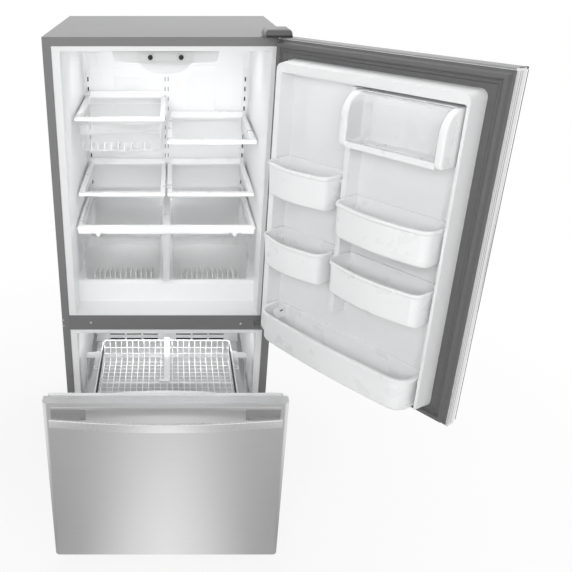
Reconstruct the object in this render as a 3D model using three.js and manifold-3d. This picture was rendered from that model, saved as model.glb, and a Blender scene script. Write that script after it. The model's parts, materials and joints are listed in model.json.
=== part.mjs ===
// Bottom-freezer refrigerator: one hinged door above, one pull-out freezer drawer below.
// Millimetres, +Z up. Everything is modelled closed, in cabinet coordinates (X = 0 on the
// centre line, Y = 0 on the cabinet's front plane, Z = 0 on the floor), then the door is
// swung and the drawer pulled out to the resting position.
import * as THREE from 'three';
import { mergeVertices } from 'three/addons/utils/BufferGeometryUtils.js';
import Module from 'manifold-3d';

const wasm = await Module();
wasm.setup();

// ---------------------------------------------------------------- driving dimensions

// cabinet
const cabinetWidth = 756;
const cabinetDepth = 690;
const cabinetTop = 1673;
const cabinetBottom = 30;
const sheet = 1.2;
const frontFlange = 27;
const fit = 0.3; // gap between seated pieces
const linerWall = 2.5;
const wallThickness = 52; // outer case to the inside of a liner
const ceilingDrop = 41; // cabinet top to the compartment ceiling
const foodFloor = 718;
const backWall = 88; // cabinet back to the inside of a liner's rear wall
const stepFront = 125; // where the compartment floor rises
const stepRise = 75;
const linerCorner = 12;
const mullionTop = foodFloor - linerWall;
const mullionBottom = 657;
const mullionRailDepth = 14;
const freezerLip = 14; // white lip between the rail and the freezer opening
const freezerFloor = 72;
const humpTop = 290; // the freezer liner steps over the machine space
const machineDepth = 260; // cabinet back to the front of that step

// door
const sealGap = 22; // cabinet front plane to door inner face
const doorThickness = 40.5;
const doorRise = 4; // door top above the cabinet top
const doorGap = 24; // door bottom above the drawer front
const doorEdgeRadius = 15;
const skinReturn = 9;
const capHeight = 20;
const hingePinInset = 17.8; // pin axis in from the cabinet side
const hingePinForward = 34.4; // pin axis ahead of the cabinet front
const pinRadius = 5;
const hingeCoverHeight = 21;
const hingePlate = 3.5;
const doorOpenAngle = 127.6; // resting swing in degrees

// door seal
const sealWidth = 20;
const sealFreeSide = 11;
const sealHingeSide = 16;
const sealTop = 20;
const sealBottom = 9;
const sealSkirt = 14; // inner foot of the door seal on the liner
const drawerSealTop = 3;

// door liner and its bins
const dikeHeight = 68;
const dikeClear = 8; // dike to compartment wall with the door shut
const dikeDraft = 6;
const hingeLeg = 20; // crest widths of the dike's legs and its head
const freeLeg = 8;
const dikeHead = 26;
const dikeCorner = 20;
const pocketCorner = 6;
const fieldDepth = 14; // liner field stands this far off the door's inner plane
const ribCentre = 348; // centre rib, from the hinge edge of the door
const ribWidth = 16;
const binWall = 2.6;
const lugReach = 10;
const lugBack = 28;
const lugFront = 58;
const binReach = 142;
const bottomBinReach = 140;
const rimHeight = 9;
const rimWidth = 6;
const rimTuck = 3; // rim underside slopes over this height
const binTaper = 10;
const binBow = 14;
const smallBinLevels = [0.6805, 0.4245]; // rims, as shares of the compartment height
const largeBinLevels = [0.6182, 0.4256];
const binHeight = 104;
const bottomBinLift = 146; // rim above the door bottom
const bottomBinHeight = 108;

// dairy compartment
const dairyHeight = 143;
const dairyReach = 124;
const dairyWall = 3;

// freezer drawer
const drawerRise = 11; // drawer top above the rail's lower edge
const drawerBottom = 46;
const drawerOut = 416.5; // resting pull-out
const drawerDike = 62;
const drawerBow = 17; // rise of the inner panel's top edge in the middle
const drawerCap = 10;

// handles
const handleHeight = 32; // face height of the bar
const handleThickness = 11;
const handleStandoff = 24; // skin to bar at the ends
const handleBow = 26; // extra reach in the middle
const drawerHandleDrop = 44; // bar top below the drawer top
const handleEndInset = 22;
const handlePost = 92;

// shelves
const shelfFront = 160;
const shelfSideGap = 10;
const shelfHeight = 13;
const shelfRail = 12;
const shelfFrontRail = 22;
const shelfBackLip = 20;
const glassThickness = 4;
const centreGap = 4; // half the gap between left and right shelves
const shelfLevels = { upperLeft: 0.733, upperRight: 0.6455, middle: 0.4365 };
const bracketThickness = 2;
const bracketDrop = 50;
const hookHeight = 10;
const crisperCoverFront = 120;
const crisperCoverLevel = 0.3217;
const crisperCoverHeight = 30;
const coverPlate = 14;
const crisperWall = 2.4;
const runnerDrop = 4.4; // drawer top to the underside of its side runners
const crisperGap = 4;
const crisperCentre = 4.5;
const deliDrop = 116; // shelf top to the bottom of the drawer under it
const deliDepth = 350;
const ladderWidth = 10;
const ladderDepth = 9;
const ladderDrop = 146; // ceiling to the ladder top
const slotPitch = 38;
const slotHeight = 18;
const slotWidth = 3;

// controls
const housingHalfWidth = 170;
const housingFront = 60;
const housingDepth = 150;
const housingDrop = 39.4;
const housingSag = 7; // extra drop of the curved lower edge
const knobSpacing = 48.6;
const knobDrop = 26.6;
const knobRadius = 8;
const lensHalfWidth = 88;
const lensFront = 112;
const lensDrop = 47;

// freezer fittings
const railBottom = 300;
const railHeight = 42.5;
const railClear = 102; // slide end to the freezer's rear wall
const railFront = 24;
const railSheet = 1.5;
const trayHalfWidth = 250;
const trayRim = 549;
const runnerWidth = 15;
const trayDepth = 85;
const trayClear = 17; // tray to the evaporator cover
const wire = 4;
const lowerBinTop = 440;
const lowerBinBottom = 84;
const lowerBinHalfWidth = 262;
const lowerBinClear = 30; // bin to the step of the liner
const lowerBinTaper = 14;
const evaporatorCoverDepth = 57; // rear wall to the cover's face
const ventPitch = 75;
const ventLength = 66;

// base and machine space
const footRadius = 19;
const footHeight = 9;
const legRadius = 6;
const legInset = 44;
const rollerRadius = 14;
const rollerWidth = 22;
const rollerFromBack = 60;
const panThickness = 2;
const compressorRadius = 78;
const compressorHeight = 162;
const compressorFromSide = 170;
const compressorFromBack = 110;
const fanRadius = 72;
const fanShaft = 3;
const fanCentre = [40, cabinetDepth - 112, 140];

// ---------------------------------------------------------------- derived places

const half = cabinetWidth / 2;
const foodCeiling = cabinetTop - ceilingDrop;
const foodBack = cabinetDepth - backWall;
const freezerBack = foodBack;
const humpFront = cabinetDepth - machineDepth;
const drawerTop = mullionBottom + drawerRise;
const doorTop = cabinetTop + doorRise;
const doorBottom = drawerTop + doorGap;
const upFood = (share) => foodFloor + share * (foodCeiling - foodFloor);
const smallBinRims = smallBinLevels.map(upFood);
const largeBinRims = largeBinLevels.map(upFood);
const bottomBinRim = doorBottom + bottomBinLift;
const shelfTops = {
  upperLeft: upFood(shelfLevels.upperLeft),
  upperRight: upFood(shelfLevels.upperRight),
  middle: upFood(shelfLevels.middle),
};
const crisperCoverTop = upFood(crisperCoverLevel);
const deliBottom = shelfTops.upperLeft - deliDrop;
const ladderTop = foodCeiling - ladderDrop;
const ladderBottom = crisperCoverTop - 2;
const dikeTop = foodCeiling - dikeClear;
const dairyTop = dikeTop - dikeHead - 2 * dikeDraft - 3;
const dairyBottom = dairyTop - dairyHeight;
const drawerHandleTop = drawerTop - drawerHandleDrop;
const evaporatorCoverFront = freezerBack - evaporatorCoverDepth;
const railLength = freezerBack - railClear;
const innerHalf = half - wallThickness;
const doorInner = -sealGap;
const doorOuter = doorInner - doorThickness;
const pinX = half - hingePinInset;
const pinY = -hingePinForward;
const freezerCeiling = mullionBottom - freezerLip;
const drawerLinerFace = doorInner + drawerDike + 2;
const trayFront = drawerLinerFace + 16;
const trayLength = evaporatorCoverFront - trayClear - trayFront;
const lowerBinLength = humpFront - lowerBinClear - drawerLinerFace - 6;
const machineTop = humpTop - linerWall - 48;
const machineFront = humpFront + linerWall + 46;

// door edge coordinate u runs from the hinge edge towards the free edge
const atU = (u) => half - u;

// ---------------------------------------------------------------- solid helpers

function solid(geometry) {
  const bare = geometry.clone();
  bare.deleteAttribute('normal');
  bare.deleteAttribute('uv');
  const merged = mergeVertices(bare, 1e-4);
  return new wasm.Manifold(new wasm.Mesh({
    numProp: 3,
    vertProperties: new Float32Array(merged.attributes.position.array),
    triVerts: new Uint32Array(merged.index.array),
  }));
}

const unite = (parts) => wasm.Manifold.union(parts);

function box(x0, x1, y0, y1, z0, z1) {
  const g = new THREE.BoxGeometry(x1 - x0, y1 - y0, z1 - z0);
  g.translate((x0 + x1) / 2, (y0 + y1) / 2, (z0 + z1) / 2);
  return solid(g);
}

const extruded = (shape, depth, segments) => new THREE.ExtrudeGeometry(shape, {
  depth, bevelEnabled: false, curveSegments: segments,
});

// profile in X, Y, pulled from z0 to z1
function alongZ(shape, z0, z1, segments = 5) {
  const g = extruded(shape, z1 - z0, segments);
  g.translate(0, 0, z0);
  return solid(g);
}

// profile in X, Z, pulled from y0 to y1
function alongY(shape, y0, y1, segments = 5) {
  const g = extruded(shape, y1 - y0, segments);
  g.rotateX(Math.PI / 2);
  g.translate(0, y1, 0);
  return solid(g);
}

// profile in Y, Z, pulled from x0 to x1
function alongX(shape, x0, x1, segments = 5) {
  const g = extruded(shape, x1 - x0, segments);
  g.applyMatrix4(new THREE.Matrix4().set(0, 0, 1, 0, 1, 0, 0, 0, 0, 1, 0, 0, 0, 0, 0, 1));
  g.translate(x0, 0, 0);
  return solid(g);
}

const polygon = (pairs) => new THREE.Shape(pairs.map(([a, b]) => new THREE.Vector2(a, b)));

function roundedRect(a0, a1, b0, b1, r) {
  const s = new THREE.Shape();
  s.moveTo(a0 + r, b0);
  s.lineTo(a1 - r, b0);
  s.absarc(a1 - r, b0 + r, r, -Math.PI / 2, 0, false);
  s.lineTo(a1, b1 - r);
  s.absarc(a1 - r, b1 - r, r, 0, Math.PI / 2, false);
  s.lineTo(a0 + r, b1);
  s.absarc(a0 + r, b1 - r, r, Math.PI / 2, Math.PI, false);
  s.lineTo(a0, b0 + r);
  s.absarc(a0 + r, b0 + r, r, Math.PI, Math.PI * 1.5, false);
  return s;
}

function ringPoints(a0, a1, b0, b1, r, steps = 4) {
  const centres = [[a1 - r, b0 + r, -90], [a1 - r, b1 - r, 0], [a0 + r, b1 - r, 90], [a0 + r, b0 + r, 180]];
  const points = [];
  for (const [a, b, start] of centres) {
    for (let i = 0; i <= steps; i += 1) {
      const t = THREE.MathUtils.degToRad(start + (90 * i) / steps);
      points.push(new THREE.Vector2(a + r * Math.cos(t), b + r * Math.sin(t)));
    }
  }
  return points;
}

// closed skin through a stack of rings with equal point counts; place(point, height) -> Vector3
function loft(rings, heights, place) {
  const count = rings[0].length;
  const positions = [];
  const index = [];
  rings.forEach((ring, k) => ring.forEach((p) => positions.push(...place(p, heights[k]).toArray())));
  for (let k = 0; k + 1 < rings.length; k += 1) {
    for (let i = 0; i < count; i += 1) {
      const a = k * count + i;
      const b = k * count + ((i + 1) % count);
      index.push(a, b, b + count, a, b + count, a + count);
    }
  }
  const last = (rings.length - 1) * count;
  for (const [a, b, c] of THREE.ShapeUtils.triangulateShape(rings[0], [])) index.push(a, c, b);
  for (const [a, b, c] of THREE.ShapeUtils.triangulateShape(rings.at(-1), [])) {
    index.push(last + a, last + b, last + c);
  }
  let volume = 0;
  const corner = (i) => new THREE.Vector3().fromArray(positions, index[i] * 3);
  for (let i = 0; i < index.length; i += 3) {
    volume += corner(i).dot(corner(i + 1).cross(corner(i + 2)));
  }
  if (volume < 0) {
    for (let i = 0; i < index.length; i += 3) [index[i + 1], index[i + 2]] = [index[i + 2], index[i + 1]];
  }
  const g = new THREE.BufferGeometry();
  g.setAttribute('position', new THREE.Float32BufferAttribute(positions, 3));
  g.setIndex(index);
  return solid(g);
}

const upright = (p, h) => new THREE.Vector3(p.x, p.y, h);
const fromDoor = (p, h) => new THREE.Vector3(p.x, doorInner + h, p.y);

function cylinder(radius, from, to, sides = 24) {
  const a = new THREE.Vector3(...from);
  const b = new THREE.Vector3(...to);
  const axis = b.clone().sub(a);
  const g = new THREE.CylinderGeometry(radius, radius, axis.length(), sides);
  g.applyQuaternion(new THREE.Quaternion().setFromUnitVectors(
    new THREE.Vector3(0, 1, 0), axis.normalize()));
  g.translate((a.x + b.x) / 2, (a.y + b.y) / 2, (a.z + b.z) / 2);
  return solid(g);
}

// ---------------------------------------------------------------- materials and meshes

const finish = (color, roughness, metalness, opacity = 1) => new THREE.MeshStandardMaterial({
  color, roughness, metalness, opacity, transparent: opacity < 1,
});
const materials = {
  casePaint: finish(0x9a9a9b, 0.5, 0.2),
  stainless: finish(0xc9cacb, 0.32, 0.9),
  zinc: finish(0xa8abad, 0.4, 0.8),
  white: finish(0xf2f2f1, 0.45, 0),
  foam: finish(0xd9c98a, 0.9, 0),
  seal: finish(0x7d7d7d, 0.7, 0),
  greyPlastic: finish(0x8f8f90, 0.5, 0),
  blackPlastic: finish(0x1c1c1d, 0.45, 0),
  clear: finish(0xeef2f3, 0.1, 0, 0.35),
  glass: finish(0xe6efec, 0.05, 0, 0.3),
  coatedWire: finish(0xf4f4f4, 0.4, 0),
  machine: finish(0x202122, 0.6, 0.4),
};

function node(name, shape, material) {
  const { vertProperties, triVerts } = shape.getMesh();
  const g = new THREE.BufferGeometry();
  g.setAttribute('position', new THREE.BufferAttribute(new Float32Array(vertProperties), 3));
  g.setIndex(new THREE.BufferAttribute(new Uint32Array(triVerts), 1));
  g.computeVertexNormals();
  const mesh = new THREE.Mesh(g, material);
  mesh.name = name;
  return mesh;
}

// ---------------------------------------------------------------- cabinet

// compartment volume grown outwards by `grow` on every wall, with its open front at y = front
function foodVolume(grow, front) {
  const r = linerCorner + grow;
  const side = new THREE.Shape();
  const top = foodCeiling + grow;
  const back = foodBack + grow;
  const low = foodFloor - grow;
  const high = foodFloor + stepRise - grow;
  const rise = stepFront + grow * 0.4;
  side.moveTo(front, low);
  side.lineTo(rise - 14, low);
  side.lineTo(rise, high - 10);
  side.lineTo(rise + 12, high);
  side.lineTo(back - r, high);
  side.absarc(back - r, high + r, r, -Math.PI / 2, 0, false);
  side.lineTo(back, top - r);
  side.absarc(back - r, top - r, r, 0, Math.PI / 2, false);
  side.lineTo(front, top);
  const plan = new THREE.Shape();
  const w = innerHalf + grow;
  plan.moveTo(-w, front - 1);
  plan.lineTo(w, front - 1);
  plan.lineTo(w, back - r);
  plan.absarc(w - r, back - r, r, 0, Math.PI / 2, false);
  plan.lineTo(-w + r, back);
  plan.absarc(-w + r, back - r, r, Math.PI / 2, Math.PI, false);
  return alongX(side, -w - 1, w + 1).intersect(alongZ(plan, low - 1, top + 1));
}

function freezerVolume(grow, front) {
  const top = freezerCeiling + grow;
  const low = freezerFloor - grow;
  const back = freezerBack + grow;
  const hump = humpTop - grow;
  const humpY = humpFront + grow;
  const r = linerCorner;
  const side = polygon([
    [front, low], [humpY - r, low], [humpY - r * 0.3, low + r * 0.3], [humpY, low + r],
    [humpY, hump - 12], [humpY + 12, hump], [back - r, hump], [back - r * 0.3, hump + r * 0.3],
    [back, hump + r], [back, top - r], [back - r * 0.3, top - r * 0.3], [back - r, top], [front, top],
  ]);
  const w = innerHalf + grow;
  return alongX(side, -w, w);
}

function outerCase() {
  const wrapper = (inset, y0, y1) => alongY(
    polygon([
      [-half + inset, cabinetBottom - (inset ? 1 : 0)], [half - inset, cabinetBottom - (inset ? 1 : 0)],
      [half - inset, cabinetTop - inset], [-half + inset, cabinetTop - inset],
    ]), y0, y1);
  const shell = wrapper(0, 0, cabinetDepth);
  const hollow = wrapper(sheet, sheet, cabinetDepth - sheet);
  const front = box(-half + frontFlange, half - frontFlange, -1, sheet + 1,
    cabinetBottom - 1, cabinetTop - frontFlange);
  const machineDoor = box(-half + 24, half - 24, cabinetDepth - sheet - 1, cabinetDepth + 1,
    cabinetBottom - 1, machineTop - 12);
  return shell.subtract(hollow).subtract(front).subtract(machineDoor);
}

function cabinetInsulation() {
  const g = sheet + fit;
  const block = box(-half + g, half - g, g, cabinetDepth - g, freezerFloor - 38, cabinetTop - g);
  const cavityGrow = linerWall + fit;
  const machine = box(-half, half, machineFront, cabinetDepth + 1, 0, machineTop);
  const lipBack = sheet + fit + linerWall + fit;
  const foodLip = box(-half, half, -1, lipBack, mullionTop - fit, foodCeiling + 14 + fit);
  const lowerLip = box(-half, half, -1, lipBack, 0, mullionBottom + fit);
  const mullionSeat = box(-half, half, -1, mullionRailDepth + fit, mullionBottom - 1, mullionTop + 1);
  const hingeSeat = box(half - 60, half, -1, 24, mullionBottom - 6, mullionTop + 6);
  return block.subtract(foodVolume(cavityGrow, -5)).subtract(freezerVolume(cavityGrow, -5))
    .subtract(machine).subtract(foodLip).subtract(lowerLip).subtract(mullionSeat)
    .subtract(hingeSeat);
}

// thermoformed tub with a flush front lip
function foodLiner() {
  const lipY = sheet + fit;
  const lip = box(-innerHalf - 24.5, innerHalf + 24.5, lipY, lipY + linerWall,
    mullionTop + fit, foodCeiling + 14 - fit);
  const tub = foodVolume(linerWall, lipY);
  const recesses = [[-250, -78, 1396, 1455], [80, 261, 1310, 1454]].map(([x0, x1, z0, z1]) => (
    box(x0, x1, foodBack - 1, foodBack + 1.2, z0, z1)));
  const ledgeTop = crisperCoverTop - coverPlate - fit;
  const ledges = [-1, 1].map((s) => alongY(polygon([
    [s * (innerHalf + 1), ledgeTop - 12], [s * (innerHalf - 8), ledgeTop - 4],
    [s * (innerHalf - 15), ledgeTop], [s * (innerHalf + 1), ledgeTop],
  ]), crisperCoverFront + 30, foodBack - 24));
  return unite([lip.add(tub).subtract(foodVolume(0, -3)).subtract(unite(recesses)), ...ledges]);
}

function freezerLiner() {
  const lipY = sheet + fit;
  const lip = box(-innerHalf - 24.5, innerHalf + 24.5, lipY, lipY + linerWall,
    freezerFloor - 24, mullionBottom - fit);
  return lip.add(freezerVolume(linerWall, lipY)).subtract(freezerVolume(0, -3));
}

// folded channel across the front between the two compartments
function mullionRail() {
  const w = half - frontFlange - fit;
  const z0 = mullionBottom + fit;
  const z1 = mullionTop - fit;
  const profile = polygon([
    [0, z0], [mullionRailDepth, z0], [mullionRailDepth, z0 + 8], [mullionRailDepth - sheet, z0 + 8],
    [mullionRailDepth - sheet, z0 + sheet], [sheet, z0 + sheet], [sheet, z1 - sheet],
    [mullionRailDepth - sheet, z1 - sheet], [mullionRailDepth - sheet, z1 - 8],
    [mullionRailDepth, z1 - 8], [mullionRailDepth, z1], [0, z1],
  ]);
  const hingeHoles = unite([half - 44, half - 58].map((x) => (
    cylinder(2.6, [x, -2, (z0 + z1) / 2], [x, 4, (z0 + z1) / 2], 10))));
  return alongX(profile, -w, w).subtract(hingeHoles);
}

// pressed base pan carrying the levelling legs, the rear axle brackets and the compressor
function baseFrame() {
  const w = half - sheet - fit;
  const panZ = cabinetBottom;
  const floorZ = freezerFloor - 38 - fit;
  const pan = alongX(polygon([
    [sheet + 1, panZ], [cabinetDepth - sheet - 1, panZ], [cabinetDepth - sheet - 1, panZ + panThickness],
    [sheet + 1 + panThickness, panZ + panThickness], [sheet + 1 + panThickness, floorZ],
    [sheet + 1, floorZ],
  ]), -w, w);
  const legs = [-1, 1].flatMap((s) => {
    const x = s * (half - legInset);
    return [
      cylinder(footRadius, [x, legInset, 0], [x, legInset, footHeight], 16),
      cylinder(legRadius, [x, legInset, footHeight - 1], [x, legInset, panZ + 1], 8),
      cylinder(legRadius * 1.8, [x, legInset, panZ - 7], [x, legInset, panZ + 0.5], 6),
    ];
  });
  const axleY = cabinetDepth - rollerFromBack;
  const brackets = [-1, 1].flatMap((s) => [0, rollerWidth + 6].map((step) => {
    const x = s * (half - 30 - step) - (s > 0 ? 2 : 0);
    return alongX(polygon([
      [axleY - 18, panZ + 1], [axleY - 9, rollerRadius - 8], [axleY + 9, rollerRadius - 8],
      [axleY + 18, panZ + 1],
    ]), x, x + 2).subtract(cylinder(5.5, [x - 1, axleY, rollerRadius], [x + 3, axleY, rollerRadius], 12));
  }));
  const wells = [-1, 1].map((s) => {
    const x = s * (half - 30 - rollerWidth / 2 - 3);
    return box(x - rollerWidth / 2 - 1.5, x + rollerWidth / 2 + 1.5, axleY - rollerRadius - 3,
      axleY + rollerRadius + 3, panZ - 1, panZ + panThickness + 1);
  });
  const [fx, fy, fz] = fanCentre;
  const motor = [
    cylinder(24, [fx + 19, fy, fz], [fx + 55, fy, fz], 14),
    cylinder(fanShaft, [fx - 8, fy, fz], [fx + 20, fy, fz], 12),
    box(fx + 26, fx + 30, fy - 20, fy + 20, panZ + 1, fz - 12),
    box(fx + 26, fx + 56, fy - 20, fy + 20, panZ + 1, panZ + 4),
  ];
  return unite([pan.subtract(unite(wells)), ...legs, ...brackets, ...motor]);
}

function rearRollers() {
  const axleY = cabinetDepth - rollerFromBack;
  const reach = half - 24;
  const axle = cylinder(4.5, [-reach, axleY, rollerRadius], [reach, axleY, rollerRadius], 12);
  const wheels = [-1, 1].map((s) => {
    const x = s * (half - 30 - rollerWidth / 2 - 3);
    const profile = [
      [4, -rollerWidth / 2 + 3], [rollerRadius - 4, -rollerWidth / 2 + 3],
      [rollerRadius - 4, -rollerWidth / 2], [rollerRadius, -rollerWidth / 2 + 2],
      [rollerRadius, rollerWidth / 2 - 2], [rollerRadius - 4, rollerWidth / 2],
      [rollerRadius - 4, rollerWidth / 2 - 3], [4, rollerWidth / 2 - 3],
    ].map(([r, h]) => new THREE.Vector2(r, h));
    profile.push(profile[0].clone());
    const g = new THREE.LatheGeometry(profile, 12);
    g.rotateZ(Math.PI / 2);
    g.translate(x, axleY, rollerRadius);
    return solid(g);
  });
  return unite([axle, ...wheels]);
}

// ---------------------------------------------------------------- hinges

function topHinge() {
  const z = doorTop + 1;
  const riser = box(half - 70, half - 10, 8, 46, cabinetTop + fit, z + 1);
  const plate = alongZ(polygon([
    [half - 74, 46], [half - 8, 46], [half - 5, 10], [pinX + 9, pinY - 6], [pinX + 5, pinY - 12],
    [pinX - 7, pinY - 12], [pinX - 14, pinY - 4], [half - 60, 4],
  ]), z, z + hingePlate);
  const pin = cylinder(pinRadius, [pinX, pinY, doorTop - 16], [pinX, pinY, z + 2], 20);
  const screws = [[half - 24, 34], [half - 56, 34], [half - 24, 14]].map(([x, y]) => (
    cylinder(5, [x, y, z + 3], [x, y, z + 6.5], 6)));
  return unite([riser, plate, pin, ...screws]);
}

function topHingeCover() {
  const z0 = doorTop + 1;
  const z1 = z0 + hingeCoverHeight;
  const outline = (grow) => ringPoints(half - 82 - grow, half + grow, pinY - 22 - grow, 54 + grow,
    13 + grow, 3);
  const outer = loft([outline(0), outline(0), outline(-4), outline(-9)],
    [z0, z1 - 10, z1 - 3, z1], upright);
  const inner = loft([outline(-2.2), outline(-2.2), outline(-9)], [z0 - 1, z1 - 10, z1 - 3], upright);
  const stands = [[half - 40, 24], [pinX - 2, pinY + 8]].map(([x, y]) => (
    cylinder(4, [x, y, z0 + hingePlate + fit], [x, y, z1 - 2], 12)));
  return unite([outer.subtract(inner), ...stands]);
}

function centreHinge() {
  const z = (doorBottom + drawerTop) / 2;
  const arm = alongZ(polygon([
    [half - 56, -4 - fit], [half - 20, -4 - fit], [half - 6, -12], [pinX + 11, pinY - 4],
    [pinX + 5, pinY - 11], [pinX - 6, pinY - 11], [pinX - 12, pinY - 3], [half - 56, -12],
  ]), z - 2.5, z + 2.5);
  const backPlate = box(half - 56, half - 22, -4 - fit, -fit, z - 12, z + 16);
  const pin = cylinder(pinRadius, [pinX, pinY, z - 1], [pinX, pinY, doorBottom + 16], 20);
  const collar = cylinder(pinRadius + 3.5, [pinX, pinY, z + 1], [pinX, pinY, doorBottom - 1.5], 20);
  return unite([arm, backPlate, pin, collar]);
}

// ---------------------------------------------------------------- interior fittings

function controlHousing() {
  const top = foodCeiling - fit;
  const front = housingFront;
  const face = new THREE.Shape();
  const w = housingHalfWidth;
  const low = top - housingDrop;
  face.moveTo(-w, top);
  face.lineTo(-w + 7, low + 5);
  face.quadraticCurveTo(-w + 10, low, -w + 20, low);
  face.quadraticCurveTo(0, low - housingSag * 2, w - 20, low);
  face.quadraticCurveTo(w - 10, low, w - 7, low + 5);
  face.lineTo(w, top);
  const body = alongY(face, front, front + housingDepth, 8);
  const hollow = box(-w + 14, w - 14, front + 3, front + housingDepth + 1, low + 3, top + 1);
  const panel = alongY(roundedRect(-86, 86, top - 39, top - 5, 4), front - 1.5, front + 1.2, 3);
  const knobHoles = [-1, 1].map((s) => cylinder(4.2, [s * knobSpacing, front - 4, knobZ],
    [s * knobSpacing, front + 6, knobZ], 16));
  const lensOpening = box(-lensHalfWidth - fit, lensHalfWidth + fit, lensFront - fit,
    front + housingDepth - 20, low - 12, low + 4);
  return body.subtract(hollow).add(panel).subtract(unite(knobHoles)).subtract(lensOpening);
}

const knobZ = foodCeiling - knobDrop;

function knob(side) {
  const x = side * knobSpacing;
  const disc = cylinder(knobRadius, [x, housingFront - 5, knobZ], [x, housingFront - 2, knobZ], 16);
  const grip = alongY(roundedRect(x - 2.6, x + 2.6, knobZ - knobRadius + 0.6, knobZ + knobRadius - 0.6, 2),
    housingFront - 11, housingFront - 4, 3);
  const stem = cylinder(3.4, [x, housingFront - 3, knobZ], [x, housingFront + 9, knobZ], 10);
  return unite([disc, grip, stem]);
}

// half-moon light cover under the housing: a shell open at the top
function lightLens() {
  const top = foodCeiling - housingDrop + 2;
  const y0 = lensFront;
  const y1 = housingFront + housingDepth - 24;
  const arch = (w, drop) => {
    const s = new THREE.Shape();
    s.moveTo(-w, top);
    s.quadraticCurveTo(-w * 0.94, top - drop, 0, top - drop);
    s.quadraticCurveTo(w * 0.94, top - drop, w, top);
    return s;
  };
  return alongY(arch(lensHalfWidth, lensDrop), y0, y1, 10)
    .subtract(alongY(arch(lensHalfWidth - 2.5, lensDrop - 2.5), y0 + 2.5, y1 - 2.5, 10));
}

// slotted channel on the back wall; columns are the slot centre lines
function ladder(x0, x1, columns) {
  const back = foodBack - fit;
  const face = back - ladderDepth;
  const channel = box(x0, x1, face, back, ladderBottom, ladderTop)
    .subtract(box(x0 + 2, x1 - 2, face + 2, back + 1, ladderBottom + 2, ladderTop - 2));
  const slots = [];
  for (let z = ladderTop - slotPitch; z > ladderBottom + slotPitch / 2; z -= slotPitch) {
    for (const x of columns) {
      slots.push(box(x - slotWidth / 2, x + slotWidth / 2, face - 1, face + 3,
        z - slotHeight / 2, z + slotHeight / 2));
    }
  }
  return channel.subtract(unite(slots));
}

const ladderFace = foodBack - fit - ladderDepth;
const shelfBack = ladderFace - 2;
const sideColumn = innerHalf - linerCorner - ladderWidth / 2;
const centreColumn = centreGap + 2;

function sideLadder(side) {
  const x = side * sideColumn;
  return ladder(x - ladderWidth / 2, x + ladderWidth / 2, [x]);
}

// moulded rim with its two steel brackets
function shelfFrame(x0, x1, top, hanger) {
  const z0 = top - shelfHeight;
  const row = Math.round((ladderTop - z0 + bracketDrop / 2) / slotPitch);
  const hookLow = ladderTop - row * slotPitch - slotHeight / 2 + fit;
  const outline = polygon([
    [shelfFront, z0 + 3], [shelfFront + 3, z0], [shelfBack, z0], [shelfBack, top + shelfBackLip],
    [shelfBack - 5, top + shelfBackLip], [shelfBack - 9, top], [shelfFront + 3, top], [shelfFront, top - 3],
  ]);
  const body = alongX(outline, x0, x1);
  const opening = box(x0 + shelfRail, x1 - shelfRail, shelfFront + shelfFrontRail, shelfBack - 16,
    z0 - 1, top + 1);
  const rebate = box(x0 + shelfRail - 5, x1 - shelfRail + 5, shelfFront + shelfFrontRail - 5,
    shelfBack - 11, top - glassThickness - 1, top + 1);
  const side = Math.sign(x0 + x1);
  const brackets = [side * sideColumn, side * centreColumn].flatMap((x) => {
    const plate = alongX(polygon([
      [shelfFront + 30, z0 + 1], [shelfFront + 30, z0 - 6], [shelfBack - 60, z0 - bracketDrop],
      [shelfBack, z0 - bracketDrop], [shelfBack, z0 + 1],
    ]), x - bracketThickness / 2, x + bracketThickness / 2);
    const hook = box(x - bracketThickness / 2, x + bracketThickness / 2, shelfBack - 4, ladderFace + 5,
      hookLow, hookLow + hookHeight);
    return [plate, hook];
  });
  // folded rails under the shelf that carry the sliding drawer
  const railTop = z0 - 4 - runnerDrop - fit;
  const rails = !hanger ? [] : [[-sideColumn, 1], [-centreColumn, -1]].map(([x, toward]) => alongY(polygon([
    [x - toward, z0 + 1], [x + toward, z0 + 1], [x + toward, railTop], [x + toward * 8, railTop],
    [x + toward * 8, railTop - 2], [x - toward, railTop - 2],
  ]), shelfFront + 34, shelfFront + deliDepth - 6));
  return unite([body.subtract(opening).subtract(rebate), ...brackets, ...rails]);
}

function shelfGlass(x0, x1, top) {
  const g = shelfRail - 5 + fit;
  return alongZ(roundedRect(x0 + g, x1 - g, shelfFront + shelfFrontRail - 5 + fit, shelfBack - 11 - fit, 3),
    top - glassThickness - 1 + fit, top - 0.7, 3);
}

const leftShelf = [-innerHalf + shelfSideGap, -centreGap];
const rightShelf = [centreGap, innerHalf - shelfSideGap];

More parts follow.
